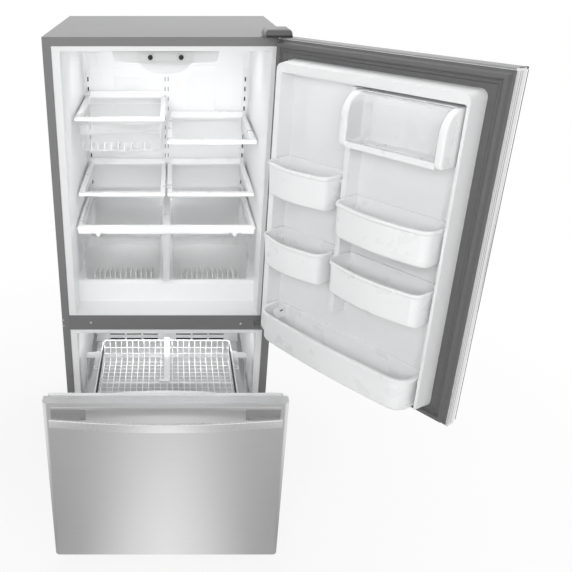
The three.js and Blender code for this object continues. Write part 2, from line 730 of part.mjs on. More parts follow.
function crisperCover() {
  const w = innerHalf - shelfSideGap + 1;
  const top = crisperCoverTop;
  const back = foodBack - 12;
  const plate = box(-w, w, crisperCoverFront, back, top - coverPlate, top);
  const rim = alongX(polygon([
    [crisperCoverFront, top - crisperCoverHeight + 4], [crisperCoverFront + 4, top - crisperCoverHeight],
    [crisperCoverFront + 12, top - crisperCoverHeight], [crisperCoverFront + 16, top - coverPlate],
    [crisperCoverFront + 16, top], [crisperCoverFront + 4, top], [crisperCoverFront, top - 4],
  ]), -w, w);
  const panes = [-1, 1].map((s) => {
    const a = s * 12;
    const b = s * (w - 14);
    return box(Math.min(a, b), Math.max(a, b), crisperCoverFront + 26, back - 20, top - 20, top + 1);
  });
  const rebate = box(-w + 9, w - 9, crisperCoverFront + 21, back - 15, top - 5 - fit, top + 1);
  const centreWeb = box(-2.2, 2.2, crisperCoverFront + 20, back - 20, foodFloor + stepRise + fit,
    top - coverPlate + 1);
  const sliderSlots = [-1, 1].map((s) => box(s * sliderX - 26, s * sliderX + 26, crisperCoverFront - 1,
    crisperCoverFront + 10, top - crisperCoverHeight - 1, top - crisperCoverHeight + 9));
  return unite([plate, rim]).subtract(unite(panes)).subtract(rebate).subtract(unite(sliderSlots))
    .add(centreWeb);
}

const sliderX = 246;

function crisperCoverGlass() {
  const w = innerHalf - shelfSideGap + 1;
  const back = foodBack - 12;
  return box(-w + 9 + fit, w - 9 - fit, crisperCoverFront + 21 + fit, back - 15 - fit,
    crisperCoverTop - 5, crisperCoverTop - 0.6);
}

function humiditySlider(side) {
  const x = side * sliderX;
  const z = crisperCoverTop - crisperCoverHeight;
  return unite([
    box(x - 9, x + 9, crisperCoverFront + 1.5, crisperCoverFront + 9.4, z + 1, z + 8.4),
    alongY(roundedRect(x - 6, x + 6, z - 7, z + 3, 2), crisperCoverFront + 2, crisperCoverFront + 7, 3),
  ]);
}

// tapered open tub with a flat rim; `front` is the face the user sees
function tub(x0, x1, front, back, bottom, top, wall, taper, corner) {
  const outer = loft([
    ringPoints(x0 + taper, x1 - taper, front + taper * 0.6, back - taper, corner, 3),
    ringPoints(x0, x1, front, back, corner, 3),
  ], [bottom, top], upright);
  const inner = loft([
    ringPoints(x0 + taper + wall, x1 - taper - wall, front + taper * 0.6 + wall, back - taper - wall,
      corner - wall, 3),
    ringPoints(x0 + wall, x1 - wall, front + wall, back - wall, corner - wall, 3),
    ringPoints(x0 + wall, x1 - wall, front + wall, back - wall, corner - wall, 3),
  ], [bottom + wall, top, top + 2], upright);
  return outer.subtract(inner);
}

// clear drawer with a pull lip across the front and runners along the sides
function clearDrawer(x0, x1, front, back, bottom, top) {
  const body = tub(x0 + 6, x1 - 6, front + 9, back, bottom, top - 2, crisperWall, 5, 14);
  const runners = [[x0, x0 + 9], [x1 - 9, x1]].map(([a, b]) => box(a, b, front + 24, back - 20,
    top - runnerDrop, top - 2));
  const lip = alongX(polygon([
    [front, top - 30], [front + 3, top - 33], [front + 12, top - 30], [front + 12, top - 26],
    [front + 4, top - 27], [front + 4, top - 6], [front + 12, top - 6], [front + 12, top - 2],
    [front + 3, top - 2], [front, top - 5],
  ]), x0 + 14, x1 - 14);
  const ribs = [];
  const count = 6;
  for (let i = 1; i < count; i += 1) {
    const x = x0 + 20 + ((x1 - x0 - 40) * i) / count;
    ribs.push(box(x - 1.2, x + 1.2, front + 9.8, front + 14.5, bottom + 12, top - 60));
  }
  const lipCore = box(x0 + 20, x1 - 20, front + 11, front + 13, top - 30, top - 2);
  return unite([body, ...runners, lip, lipCore, ...ribs]);
}

const crisperFloor = foodFloor + stepRise;

function crisper(side) {
  const a = side * crisperCentre;
  const b = side * (innerHalf - crisperGap);
  return clearDrawer(Math.min(a, b), Math.max(a, b), crisperCoverFront + 6, foodBack - 34,
    crisperFloor + fit, crisperCoverTop - crisperCoverHeight - 9);
}

function deliDrawer() {
  const top = shelfTops.upperLeft - shelfHeight - 4;
  return clearDrawer(-sideColumn + 3, -centreColumn - 3, shelfFront + 4, shelfFront + deliDepth,
    deliBottom, top);
}

// ---------------------------------------------------------------- freezer fittings

function evaporatorCover() {
  const y = evaporatorCoverFront;
  const w = innerHalf - 4;
  const top = freezerCeiling - 4;
  const low = humpTop + 3;
  const panel = alongX(polygon([
    [y, low], [y + 3, low], [y + 3, top - 20], [y + 22, top - 3], [y + 22, top], [y + 18, top],
    [y, top - 18],
  ]), -w, w);
  const slots = [];
  const slotRow = (z, height, x0, count) => {
    for (let i = 0; i < count; i += 1) {
      const x = x0 + i * ventPitch;
      slots.push(box(x, x + ventLength, y - 2, y + 5, z, z + height));
    }
  };
  for (const x0 of [-258, 41]) {
    slotRow(low + 34, 6, x0, 3);
    slotRow(low + 8, 9, x0, 3);
    slotRow(top - 90, 8, x0, 3);
  }
  const stays = [-1, 1].map((s) => box(s * (w - 20) - 2, s * (w - 20) + 2, y + 2, freezerBack - fit,
    low + 60, low + 140));
  return unite([panel, ...stays]).subtract(unite(slots));
}

function compressor() {
  const x = -half + compressorFromSide;
  const y = cabinetDepth - compressorFromBack;
  const z0 = cabinetBottom + panThickness + fit;
  const high = z0 + compressorHeight;
  const profile = [
    [0, z0 + 14], [compressorRadius - 14, z0 + 14], [compressorRadius - 3, z0 + 26],
    [compressorRadius, high - 118], [compressorRadius, high - 74], [compressorRadius + 3, high - 72],
    [compressorRadius + 3, high - 67], [compressorRadius, high - 65], [compressorRadius - 6, high - 32],
    [compressorRadius - 26, high - 10], [compressorRadius - 50, high - 2], [0, high],
  ].map(([r, z]) => new THREE.Vector2(r, z));
  const g = new THREE.LatheGeometry(profile, 16);
  g.rotateX(Math.PI / 2);
  g.translate(x, y, 0);
  const pot = solid(g);
  const plate = box(x - 95, x + 95, y - 62, y + 62, z0 + 10, z0 + 15);
  const feet = [-80, 80].flatMap((dx) => [-48, 48].map((dy) => (
    cylinder(11, [x + dx, y + dy, z0], [x + dx, y + dy, z0 + 11], 6))));
  const relay = box(x + compressorRadius - 12, x + compressorRadius + 34, y - 30, y + 30,
    z0 + 40, z0 + 100);
  return unite([pot, plate, ...feet, relay]);
}

// axial fan beside the compressor: hub and swept blades on an X axis
function condenserFan() {
  const [x, y, z] = fanCentre;
  const hub = cylinder(17, [x - 10, y, z], [x + 12, y, z], 20)
    .subtract(cylinder(fanShaft + 0.4, [x - 11, y, z], [x + 13, y, z], 12));
  const blades = [];
  const bladeCount = 5;
  for (let i = 0; i < bladeCount; i += 1) {
    const g = new THREE.BoxGeometry(3, 40, 58);
    g.translate(0, 0, 42);
    g.rotateZ(THREE.MathUtils.degToRad(62));
    g.rotateX((i * 2 * Math.PI) / bladeCount);
    g.translate(x, y, z);
    blades.push(solid(g));
  }
  const disc = cylinder(fanRadius, [x - 16, y, z], [x + 16, y, z], 16)
    .subtract(cylinder(16, [x - 17, y, z], [x + 17, y, z], 14));
  return unite([hub, unite(blades).intersect(disc)]);
}

function machineCover() {
  const w = half - 10;
  const y = cabinetDepth + fit;
  const z0 = cabinetBottom + 4;
  const z1 = machineTop;
  const panel = box(-w, w, y, y + 1.6, z0, z1);
  const slots = [];
  const columns = 3;
  const rows = 6;
  const span = (2 * w - 120) / columns;
  for (let c = 0; c < columns; c += 1) {
    for (let r = 0; r < rows; r += 1) {
      const x = -w + 60 + c * span;
      const z = z0 + 30 + r * 24;
      slots.push(box(x + 8, x + span - 8, y - 1, y + 3, z, z + 9));
    }
  }
  return panel.subtract(unite(slots));
}

// ---------------------------------------------------------------- telescopic drawer slides

const railZ1 = railBottom + railHeight;
const railX = innerHalf - fit; // outer face of the fixed member

function outerRail(side) {
  const x = (d) => side * (railX - d);
  const c = [[0, railBottom], [13, railBottom], [13, railBottom + railSheet],
    [railSheet, railBottom + railSheet], [railSheet, railZ1 - railSheet], [13, railZ1 - railSheet],
    [13, railZ1], [0, railZ1]];
  return alongY(polygon(c.map(([d, z]) => [x(d), z])), railFront, railFront + railLength);
}

function middleRail(side) {
  const x = (d) => side * (railX - d);
  const low = railBottom + railSheet + 1;
  const high = railZ1 - railSheet - 1;
  const c = [[3, low], [24, low], [24, low + 2], [14.5, low + 2], [14.5, high - 2], [24, high - 2],
    [24, high], [3, high], [3, high - 2], [12.5, high - 2], [12.5, low + 2], [3, low + 2]];
  return alongY(polygon(c.map(([d, z]) => [x(d), z])), railFront + 6, railFront + railLength - 10);
}

function innerRail(side) {
  const x = (d) => side * (railX - d);
  const c = [[27.5, railBottom], [14.5, railBottom], [14.5, railBottom + railSheet],
    [26, railBottom + railSheet], [26, railZ1 - railSheet], [14.5, railZ1 - railSheet], [14.5, railZ1],
    [27.5, railZ1]];
  return alongY(polygon(c.map(([d, z]) => [x(d), z])), railFront + 2, railFront + railLength - 16);
}

// inner slide members, the side arms that bolt to the front, the tray runners and a rear tie
function drawerFrame() {
  const parts = [];
  const armInner = railX - 27.5;
  const runnerZ = trayRim - 12;
  const front = drawerLinerFace + fit;
  const armLow = railBottom - 60;
  const armHigh = railZ1 + 40;
  const postEnd = railFront + railLength - 66; // rear posts stand on the inner slide members
  for (const s of [-1, 1]) {
    const span = (a, b) => [Math.min(s * a, s * b), Math.max(s * a, s * b)];
    parts.push(innerRail(s));
    parts.push(box(...span(armInner - 2, armInner + 0.5), front, railFront + 20, armLow, armHigh));
    parts.push(box(...span(armInner - 34, armInner), front, front + 2.2, armLow, armHigh));
    parts.push(box(...span(armInner - 2, armInner), front, front + 34, railZ1 + 30, runnerZ));
    parts.push(box(...span(armInner - 2, armInner), postEnd - 40, postEnd, railZ1 - 4, runnerZ));
    parts.push(box(...span(trayHalfWidth - 1, trayHalfWidth + runnerWidth), front, postEnd + 10,
      runnerZ - 3, runnerZ));
    for (const [ya, yb] of [[front, front + 34], [postEnd - 40, postEnd]]) {
      parts.push(box(...span(trayHalfWidth, armInner), ya, yb, runnerZ - 3, runnerZ));
    }
    parts.push(box(...span(lowerBinHalfWidth + 1.5, armInner), front, postEnd,
      lowerBinTop - 8 - fit, lowerBinTop - 5 - fit));
  }
  const tieEnd = railFront + railLength - 22;
  const tie = box(-armInner, armInner, tieEnd - 12, tieEnd, railBottom + 2, railBottom + 14);
  return unite([...parts, tie]);
}

// shallow wire tray: floor grid, upright ends and sides, a heavier rim and a centre divider
function upperBasket() {
  const y0 = trayFront;
  const y1 = trayFront + trayLength;
  const floorZ = trayRim - trayDepth;
  const w = trayHalfWidth - 8;
  const parts = [];
  const bar = (x0, x1, ya, yb, za, zb) => parts.push(box(x0, x1, ya, yb, za, zb));
  const longWires = 6;
  for (let i = 0; i < longWires; i += 1) {
    const x = -w + wire / 2 + ((2 * w - wire) * i) / (longWires - 1);
    bar(x - 1.6, x + 1.6, y0, y1, floorZ, floorZ + 3.2);
    bar(x - 1.6, x + 1.6, y0, y0 + 3.2, floorZ, trayRim - 1);
    bar(x - 1.6, x + 1.6, y1 - 3.2, y1, floorZ, trayRim - 1);
  }
  const crossWires = 3;
  for (let i = 0; i < crossWires; i += 1) {
    const y = y0 + 34 + ((y1 - y0 - 68) * i) / (crossWires - 1);
    bar(-w, w, y - 1.6, y + 1.6, floorZ - 2.6, floorZ + 0.6);
    bar(-w, -w + 3.2, y - 1.6, y + 1.6, floorZ - 2.6, trayRim - 1);
    bar(w - 3.2, w, y - 1.6, y + 1.6, floorZ - 2.6, trayRim - 1);
  }
  const rim = alongZ(roundedRect(-w - 2, w + 2, y0 - 2, y1 + 2, 12), trayRim - wire, trayRim, 2)
    .subtract(alongZ(roundedRect(-w + 3, w - 3, y0 + 3, y1 - 3, 8), trayRim - wire - 1, trayRim + 1, 2));
  const hooks = [-1, 1].flatMap((s) => [0.12, 0.6].map((t) => {
    const y = y0 + (y1 - y0) * t;
    return alongY(polygon([
      [s * (w - 2), trayRim - 2], [s * (w - 2), trayRim - 12 + fit],
      [s * (trayHalfWidth + 12), trayRim - 12 + fit], [s * (trayHalfWidth + 12), trayRim - 8],
      [s * (w + 1.5), trayRim - 8], [s * (w + 1.5), trayRim - 2],
    ]), y - 12, y + 12);
  }));
  const divider = box(-8, 8, y0 + 180, y1, trayRim - 10, trayRim + 6)
    .add(box(-3, 3, y0 + 180, y1 - 3.4, floorZ + 2, trayRim - 8));
  return unite([...parts, rim, ...hooks, divider]);
}

function lowerBin() {
  const w = lowerBinHalfWidth;
  const y0 = drawerLinerFace + 6;
  const body = tub(-w, w, y0, y0 + lowerBinLength, lowerBinBottom, lowerBinTop, 3, lowerBinTaper, 26);
  const y1 = y0 + lowerBinLength;
  const rim = alongZ(roundedRect(-w - 5, w + 5, y0 - 3, y1 + 5, 26), lowerBinTop - 5, lowerBinTop, 3)
    .subtract(alongZ(roundedRect(-w + 2, w - 2, y0 + 2, y1 - 2, 22), lowerBinTop - 6, lowerBinTop + 1, 3));
  return body.add(rim);
}

// ---------------------------------------------------------------- door

// stainless skin: front sheet with rounded edges, side walls and short inner returns
function skin(z0, z1) {
  const r = doorEdgeRadius;
  const w = half;
  const path = (inset, close) => {
    const s = new THREE.Shape();
    const f = doorOuter + inset;
    const rr = r - inset;
    s.moveTo(-w + inset, close);
    s.lineTo(-w + inset, f + rr);
    s.absarc(-w + inset + rr, f + rr, rr, Math.PI, Math.PI * 1.5, false);
    s.lineTo(w - inset - rr, f);
    s.absarc(w - inset - rr, f + rr, rr, -Math.PI / 2, 0, false);
    s.lineTo(w - inset, close);
    return s;
  };
  const outer = alongZ(path(0, doorInner), z0, z1, 5);
  const inner = alongZ(path(sheet, doorInner - sheet), z0 - 1, z1 + 1, 5);
  const mouth = box(-w + skinReturn, w - skinReturn, doorInner - sheet - 1, doorInner + 1, z0 - 1, z1 + 1);
  return outer.subtract(inner).subtract(mouth);
}

// what fills the skin's section, `grow` clear of the sheet
function skinFill(z0, z1, clear) {
  const g = sheet + clear;
  const r = doorEdgeRadius - g;
  const s = new THREE.Shape();
  s.moveTo(-half + g, doorInner - g);
  s.lineTo(-half + g, doorOuter + g + r);
  s.absarc(-half + g + r, doorOuter + g + r, r, Math.PI, Math.PI * 1.5, false);
  s.lineTo(half - g - r, doorOuter + g);
  s.absarc(half - g - r, doorOuter + g + r, r, -Math.PI / 2, 0, false);
  s.lineTo(half - g, doorInner - g);
  return alongZ(s, z0, z1, 5);
}

const doorSpan = (u0, u1, z0, z1, grow, corner = dikeCorner) => ringPoints(
  atU(u1) - grow, atU(u0) + grow, z0 - grow, z1 + grow, corner + grow);
const dikeU0 = wallThickness + dikeClear;
const dikeU1 = cabinetWidth - wallThickness - dikeClear;
const dikeZ0 = foodFloor + dikeClear;
const dikeZ1 = dikeTop;
const draftAt = (h) => (dikeDraft * h) / dikeHeight;

// raised dike on three sides and the pocket between its legs, with the solid shrunk by `inset`
function dikeRing(inset, base) {
  const outside = (h) => doorSpan(dikeU0 + draftAt(h), dikeU1 - draftAt(h), dikeZ0 + draftAt(h),
    dikeZ1 - draftAt(h), -inset);
  const inside = (h) => {
    const d = 2 * dikeDraft - draftAt(h);
    return doorSpan(dikeU0 + hingeLeg + d, dikeU1 - freeLeg - d, dikeZ0 - 40, dikeZ1 - dikeHead - d,
      inset, pocketCorner);
  };
  const heights = [base, dikeHeight - inset];
  const depths = [fieldDepth - inset, dikeHeight + 2];
  return {
    outer: loft(heights.map(outside), heights, fromDoor),
    pocket: loft(depths.map(inside), depths, fromDoor),
  };
}

// ledge on a wall of the pocket that a bin's rim or the dairy shelf rests on
function pocketLug(u, side, z) {
  const wall = (h) => atU(u + side * (dikeDraft * (1 - h / dikeHeight)) - side * 1.2);
  const tip = atU(u + side * lugReach);
  return alongZ(polygon([
    [wall(lugBack), doorInner + lugBack], [tip, doorInner + lugBack], [tip, doorInner + lugFront - 4],
    [wall(lugFront), doorInner + lugFront],
  ]), z - 12, z);
}

function doorLiner() {
  const { outer, pocket } = dikeRing(0, 0);
  const core = dikeRing(linerWall, -1);
  const flange = box(-half + 4, half - 4, doorInner + fit, doorInner + fit + linerWall, doorBottom + 4,
    doorTop - 4);
  const inner = core.outer.subtract(core.pocket);
  const ribHalf = ribWidth / 2;
  const rib = alongZ(polygon([
    [atU(ribCentre + ribHalf + dikeDraft), doorInner + fieldDepth - 1],
    [atU(ribCentre + ribHalf), doorInner + dikeHeight - 8],
    [atU(ribCentre - ribHalf), doorInner + dikeHeight - 8],
    [atU(ribCentre - ribHalf - dikeDraft), doorInner + fieldDepth - 1],
  ]), bottomBinRim + 70, dairyTop + 2);
  const columns = [[pocketU0, ribCentre - ribHalf], [ribCentre + ribHalf, pocketU1]];
  const lugs = [smallBinRims, largeBinRims].flatMap((rims, i) => rims.flatMap((rim) => {
    const z = rim - rimHeight - rimTuck - fit;
    return [pocketLug(columns[i][0], 1, z), pocketLug(columns[i][1], -1, z)];
  }));
  const dairyLug = dairyBottom - fit;
  lugs.push(pocketLug(columns[1][0], 1, dairyLug), pocketLug(columns[1][1], -1, dairyLug));
  const bottomLug = bottomBinRim - rimHeight - rimTuck - fit;
  lugs.push(pocketLug(pocketU0, 1, bottomLug), pocketLug(pocketU1, -1, bottomLug));
  const clearBelow = box(-half, half, doorInner - 5, doorInner + fit, doorBottom, doorTop);
  return unite([outer.subtract(pocket).subtract(inner), flange.subtract(core.outer), rib, ...lugs])
    .subtract(clearBelow);
}

function doorInsulation() {
  const slab = skinFill(doorBottom + sheet + fit, doorTop - capHeight - fit, fit)
    .subtract(cylinder(pinRadius + 2, [pinX, pinY, doorBottom], [pinX, pinY, doorBottom + 18], 20));
  const neck = loft([
    doorSpan(dikeU0, dikeU1, dikeZ0, dikeZ1, -linerWall - fit),
    doorSpan(dikeU0, dikeU1, dikeZ0, dikeZ1, -linerWall - fit),
  ], [-4, 0.2], fromDoor);
  const { outer, pocket } = dikeRing(linerWall + fit, 0);
  return unite([slab, neck, outer.subtract(pocket)]);
}

// moulded cap that closes the top of the skin and holds the upper pin
function topCap() {
  const z0 = doorTop - capHeight;
  const plug = skinFill(z0, doorTop, fit);
  const cap = box(-half + skinReturn + fit, half - skinReturn - fit, doorInner - sheet - 2, doorInner,
    z0, doorTop);
  const socket = cylinder(pinRadius + 0.6, [pinX, pinY, doorTop - 17], [pinX, pinY, doorTop + 1], 20);
  return plug.add(cap).subtract(socket);
}

// the door's sheet with its bottom end folded over and pierced for the lower pin
function doorSkin() {
  const bottom = skinFill(doorBottom, doorBottom + sheet, -0.4);
  const socket = cylinder(pinRadius + 0.6, [pinX, pinY, doorBottom - 1], [pinX, pinY, doorBottom + 3], 20);
  return skin(doorBottom, doorTop).add(bottom).subtract(socket);
}

// magnetic seal: hollow bellows profile run round the door
function sealRing(x0, x1, z0, z1, thickness, foot, skirt) {
  const ring = (grow) => ringPoints(x0 - grow, x1 + grow, z0 - grow, z1 + grow, 6, 2);
  const hole = (grow, ends = grow) => ringPoints(x0 + sealWidth - grow, x1 - sealWidth + grow,
    z0 + sealWidth - ends, z1 - sealWidth + ends, 4, 2);
  const base = linerWall + 2 * fit;
  const heights = [base, base + 3.5, base + 5, base + 7.5, thickness - fit - 3, thickness - fit];
  const grows = [foot, foot - 1.5, -5, -2.5, 0, 0];
  return loft(grows.map(ring), heights, fromDoor)
    .subtract(loft([hole(-skirt, 2), hole(2 - skirt, 2), hole(5), hole(2.5), hole(0), hole(0)],
      [base - 1, base + 3.5, base + 5, base + 7.5, thickness - fit - 3, thickness + 1], fromDoor));
}

const doorGasket = () => sealRing(atU(cabinetWidth - sealFreeSide), atU(sealHingeSide),
  doorBottom + sealBottom, doorTop - sealTop, sealGap, 6, sealSkirt);

// bowed bar on two end posts; length runs along `a`, reach away from the skin
function handleBar(a0, a1, b0, b1, place) {
  const steps = 12;
  const posts = handlePost;
  const bow = (t) => handleStandoff + handleBow * Math.sin(Math.PI * t);
  const rings = [];
  for (let i = 0; i <= steps; i += 1) {
    const t = i / steps;
    rings.push({ a: a0 + (a1 - a0) * t, out: bow(t) });
  }
  const positions = rings.map(({ a, out }) => ringPoints(b0, b1, out - handleThickness, out, 4, 2)
    .map((p) => place(a, p.x, p.y)));
  const g = new THREE.BufferGeometry();
  const flat = positions.flat().flatMap((v) => v.toArray());
  const count = positions[0].length;
  const index = [];
  for (let k = 0; k < steps; k += 1) {
    for (let i = 0; i < count; i += 1) {
      const p = k * count + i;
      const q = k * count + ((i + 1) % count);
      index.push(p, q, q + count, p, q + count, p + count);
    }
  }
  for (let i = 1; i + 1 < count; i += 1) {
    index.push(0, i + 1, i);
    index.push(steps * count, steps * count + i, steps * count + i + 1);
  }
  let volume = 0;
  const corner = (i) => new THREE.Vector3().fromArray(flat, index[i] * 3);
  for (let i = 0; i < index.length; i += 3) volume += corner(i).dot(corner(i + 1).cross(corner(i + 2)));
  if (volume < 0) {
    for (let i = 0; i < index.length; i += 3) [index[i + 1], index[i + 2]] = [index[i + 2], index[i + 1]];
  }
  g.setAttribute('position', new THREE.Float32BufferAttribute(flat, 3));
  g.setIndex(index);
  const ends = [[a0 + 3, a0 + 3 + posts], [a1 - 3 - posts, a1 - 3]].map(([p, q]) => {
    const c0 = place(p, b0 + 5, fit);
    const c1 = place(q, b1 - 5, handleStandoff - 2);
    const lo = c0.clone().min(c1);
    const hi = c0.clone().max(c1);
    return box(lo.x, hi.x, lo.y, hi.y, lo.z, hi.z);
  });
  return unite([solid(g), ...ends]);
}

function doorHandle() {
  const x1 = -half + handleEndInset;
  return handleBar(doorBottom + 30, doorTop - 30, x1, x1 + handleHeight,
    (a, b, out) => new THREE.Vector3(b, doorOuter - out, a));
}

// door bin: bowed front, rolled rim, flat back against the liner field
function doorBin(u0, u1, rim, height, reach) {
  const back = doorInner + fieldDepth + 1.5;
  const front = doorInner + reach;
  const outline = (inset, lift) => {
    const x0 = atU(u1) + inset;
    const x1 = atU(u0) - inset;
    const f = front - inset - lift;
    const points = [new THREE.Vector2(x0, back + inset), new THREE.Vector2(x1, back + inset)];
    const corner = 30;
    const arcSteps = 3;
    const bowSteps = 7;
    const right = x1 - corner;
    const left = x0 + corner;
    const side = f - binBow;
    const add = (x, y) => points.push(new THREE.Vector2(x, y));
    for (let i = 0; i <= arcSteps; i += 1) {
      const t = (Math.PI / 2) * (i / arcSteps);
      add(right + corner * Math.cos(t), side - corner + corner * Math.sin(t));
    }
    for (let i = 1; i < bowSteps; i += 1) {
      const t = i / bowSteps;
      add(right + (left - right) * t, side + binBow * Math.sin(Math.PI * t));
    }
    for (let i = 0; i <= arcSteps; i += 1) {
      const t = Math.PI / 2 + (Math.PI / 2) * (i / arcSteps);
      add(left + corner * Math.cos(t), side - corner + corner * Math.sin(t));
    }
    return points;
  };
  const z0 = rim - height;
  const outer = loft([outline(7, binTaper), outline(4.4, binTaper - 4), outline(rimWidth - binWall, 0),
    outline(0, 0), outline(0, 0), outline(1.5, 0)],
  [z0, z0 + 7, rim - rimHeight - rimTuck, rim - rimHeight, rim - 2, rim], upright);
  const inner = loft([outline(7 + binWall, binTaper), outline(rimWidth, 0), outline(rimWidth, 0)],
    [z0 + binWall, rim - rimHeight - rimTuck, rim + 2], upright);
  return outer.subtract(inner);
}

const pocketU0 = dikeU0 + dikeDraft + hingeLeg;
const pocketU1 = dikeU1 - dikeDraft - freeLeg;
const binClear = dikeDraft + 0.8;
const binSpan = (a, b) => [a + binClear, b - binClear];
const smallBinSpan = binSpan(pocketU0, ribCentre - ribWidth / 2);
const largeBinSpan = binSpan(ribCentre + ribWidth / 2, pocketU1);

// side cheeks with a quarter-round nose, a shelf with a lip, and a back panel
function dairyHousing() {
  const [u0, u1] = largeBinSpan;
  const back = doorInner + fieldDepth + 1.2;
  const nose = doorInner + dairyReach;
  const cheek = (grow) => {
    const s = new THREE.Shape();
    s.moveTo(back, dairyBottom + grow);
    s.lineTo(nose - 6 - grow, dairyBottom + grow);
    s.quadraticCurveTo(nose - grow, dairyBottom + grow, nose - grow, dairyBottom + 12 + grow);
    s.lineTo(nose - grow, dairyTop - 62);
    s.quadraticCurveTo(nose - grow, dairyTop - grow, nose - 38, dairyTop - grow);
    s.lineTo(back, dairyTop - grow);
    return s;
  };
  const x0 = atU(u1);
  const x1 = atU(u0);
  const cheeks = [[x0, x0 + 9], [x1 - 9, x1]].map(([a, b]) => alongX(cheek(0), a, b, 8));
  const floor = box(x0 + 1, x1 - 1, back, nose - 8, dairyBottom, dairyBottom + dairyWall);
  const lip = box(x0 + 1, x1 - 1, nose - 14, nose - 11, dairyBottom, dairyBottom + 16);
  const top = box(x0 + 1, x1 - 1, back, lidPivotY - 9, dairyTop - dairyWall, dairyTop);
  const rear = box(x0 + 1, x1 - 1, back, back + dairyWall, dairyBottom, dairyTop);
  const pins = [[x0 + 8, x0 + 13], [x1 - 13, x1 - 8]].map(([a, b]) => (
    cylinder(2.5, [a, lidPivotY, lidPivotZ], [b, lidPivotY, lidPivotZ], 12)));
  return unite([...cheeks, floor, lip, top, rear, ...pins]);
}

const lidPivotY = doorInner + dikeHeight;
const lidPivotZ = dairyTop - 8.5;

// clear flip-up lid: one curved sheet with end ears round the pivots
function dairyLid() {
  const [u0, u1] = largeBinSpan;
  const x0 = atU(u1) + 10.5;
  const x1 = atU(u0) - 10.5;
  const nose = doorInner + dairyReach - 3;
  const sheetShape = (grow) => {
    const s = new THREE.Shape();
    s.moveTo(nose, dairyBottom + 20);
    s.lineTo(nose, dairyTop - 62);
    s.quadraticCurveTo(nose, dairyTop - 2, nose - 35, dairyTop - 2);
    s.lineTo(lidPivotY - 5, dairyTop - 2);
    s.lineTo(lidPivotY - 5, dairyTop - 2 - grow);
    s.lineTo(nose - 35, dairyTop - 2 - grow);
    s.quadraticCurveTo(nose - grow, dairyTop - 2 - grow, nose - grow, dairyTop - 62);
    s.lineTo(nose - grow, dairyBottom + 20);
    return s;
  };
  const pane = alongX(sheetShape(2.6), x0, x1, 8);
  const mid = (x0 + x1) / 2;
  const thumb = box(mid - 26, mid + 26, nose - 2, nose + 8, dairyBottom + 20, dairyBottom + 23);
  const ears = [[x0, x0 + 2.6], [x1 - 2.6, x1]].map(([a, b]) => {
    const ear = alongX(polygon([
      [lidPivotY - 5, lidPivotZ - 6], [lidPivotY + 5, lidPivotZ - 6], [lidPivotY + 14, dairyTop - 3],
      [lidPivotY - 5, dairyTop - 3],
    ]), a, b);
    return ear.subtract(cylinder(3, [a - 1, lidPivotY, lidPivotZ], [b + 1, lidPivotY, lidPivotZ], 12));
  });
  return unite([pane, thumb, ...ears]);
}

// ---------------------------------------------------------------- freezer drawer front

function drawerSkin() {
  const body = skin(drawerBottom, drawerTop);
  const end = (z0, z1) => skinFill(z0, z1, -0.4)
    .add(box(-half + 2, half - 2, doorInner - sheet - 3, doorInner, z0, z1));
  return unite([body, end(drawerTop - drawerCap, drawerTop), end(drawerBottom, drawerBottom + sheet)]);
}

// inner panel backed by its foam: a plug that fills the skin, and the raised dike with a bowed top
function drawerLiner() {
  const slab = skinFill(drawerBottom + sheet + fit, drawerTop - drawerCap - fit, fit);
  const z0 = freezerFloor + 16;
  const z1 = freezerCeiling - 3 - drawerBow;
  const w = innerHalf - 34;
  const arched = (grow) => {
    const ring = ringPoints(-w + grow, w - grow, z0 + grow, z1 - grow, 24);
    const crown = [];
    const steps = 10;
    for (let i = 1; i < steps; i += 1) {
      const t = i / steps;
      const x = (w - grow - 24) * (1 - 2 * t);
      crown.push(new THREE.Vector2(x, z1 - grow + drawerBow * Math.sin(Math.PI * t)));
    }
    return [...ring.slice(0, 10), ...crown, ...ring.slice(10)];
  };
  const dike = loft([arched(0), arched(0), arched(8)], [-4, drawerDike - 14, drawerDike], fromDoor);
  return slab.add(dike);
}

const drawerGasket = () => sealRing(-half + sealFreeSide, half - sealFreeSide, drawerBottom + 12,
  drawerTop - drawerSealTop, sealGap, -2, -2);

function drawerHandle() {
  const z0 = drawerHandleTop - handleHeight;
  return handleBar(-half + handleEndInset, half - handleEndInset, z0, drawerHandleTop,
    (a, b, out) => new THREE.Vector3(a, doorOuter - out, b));
}

// ---------------------------------------------------------------- assembly

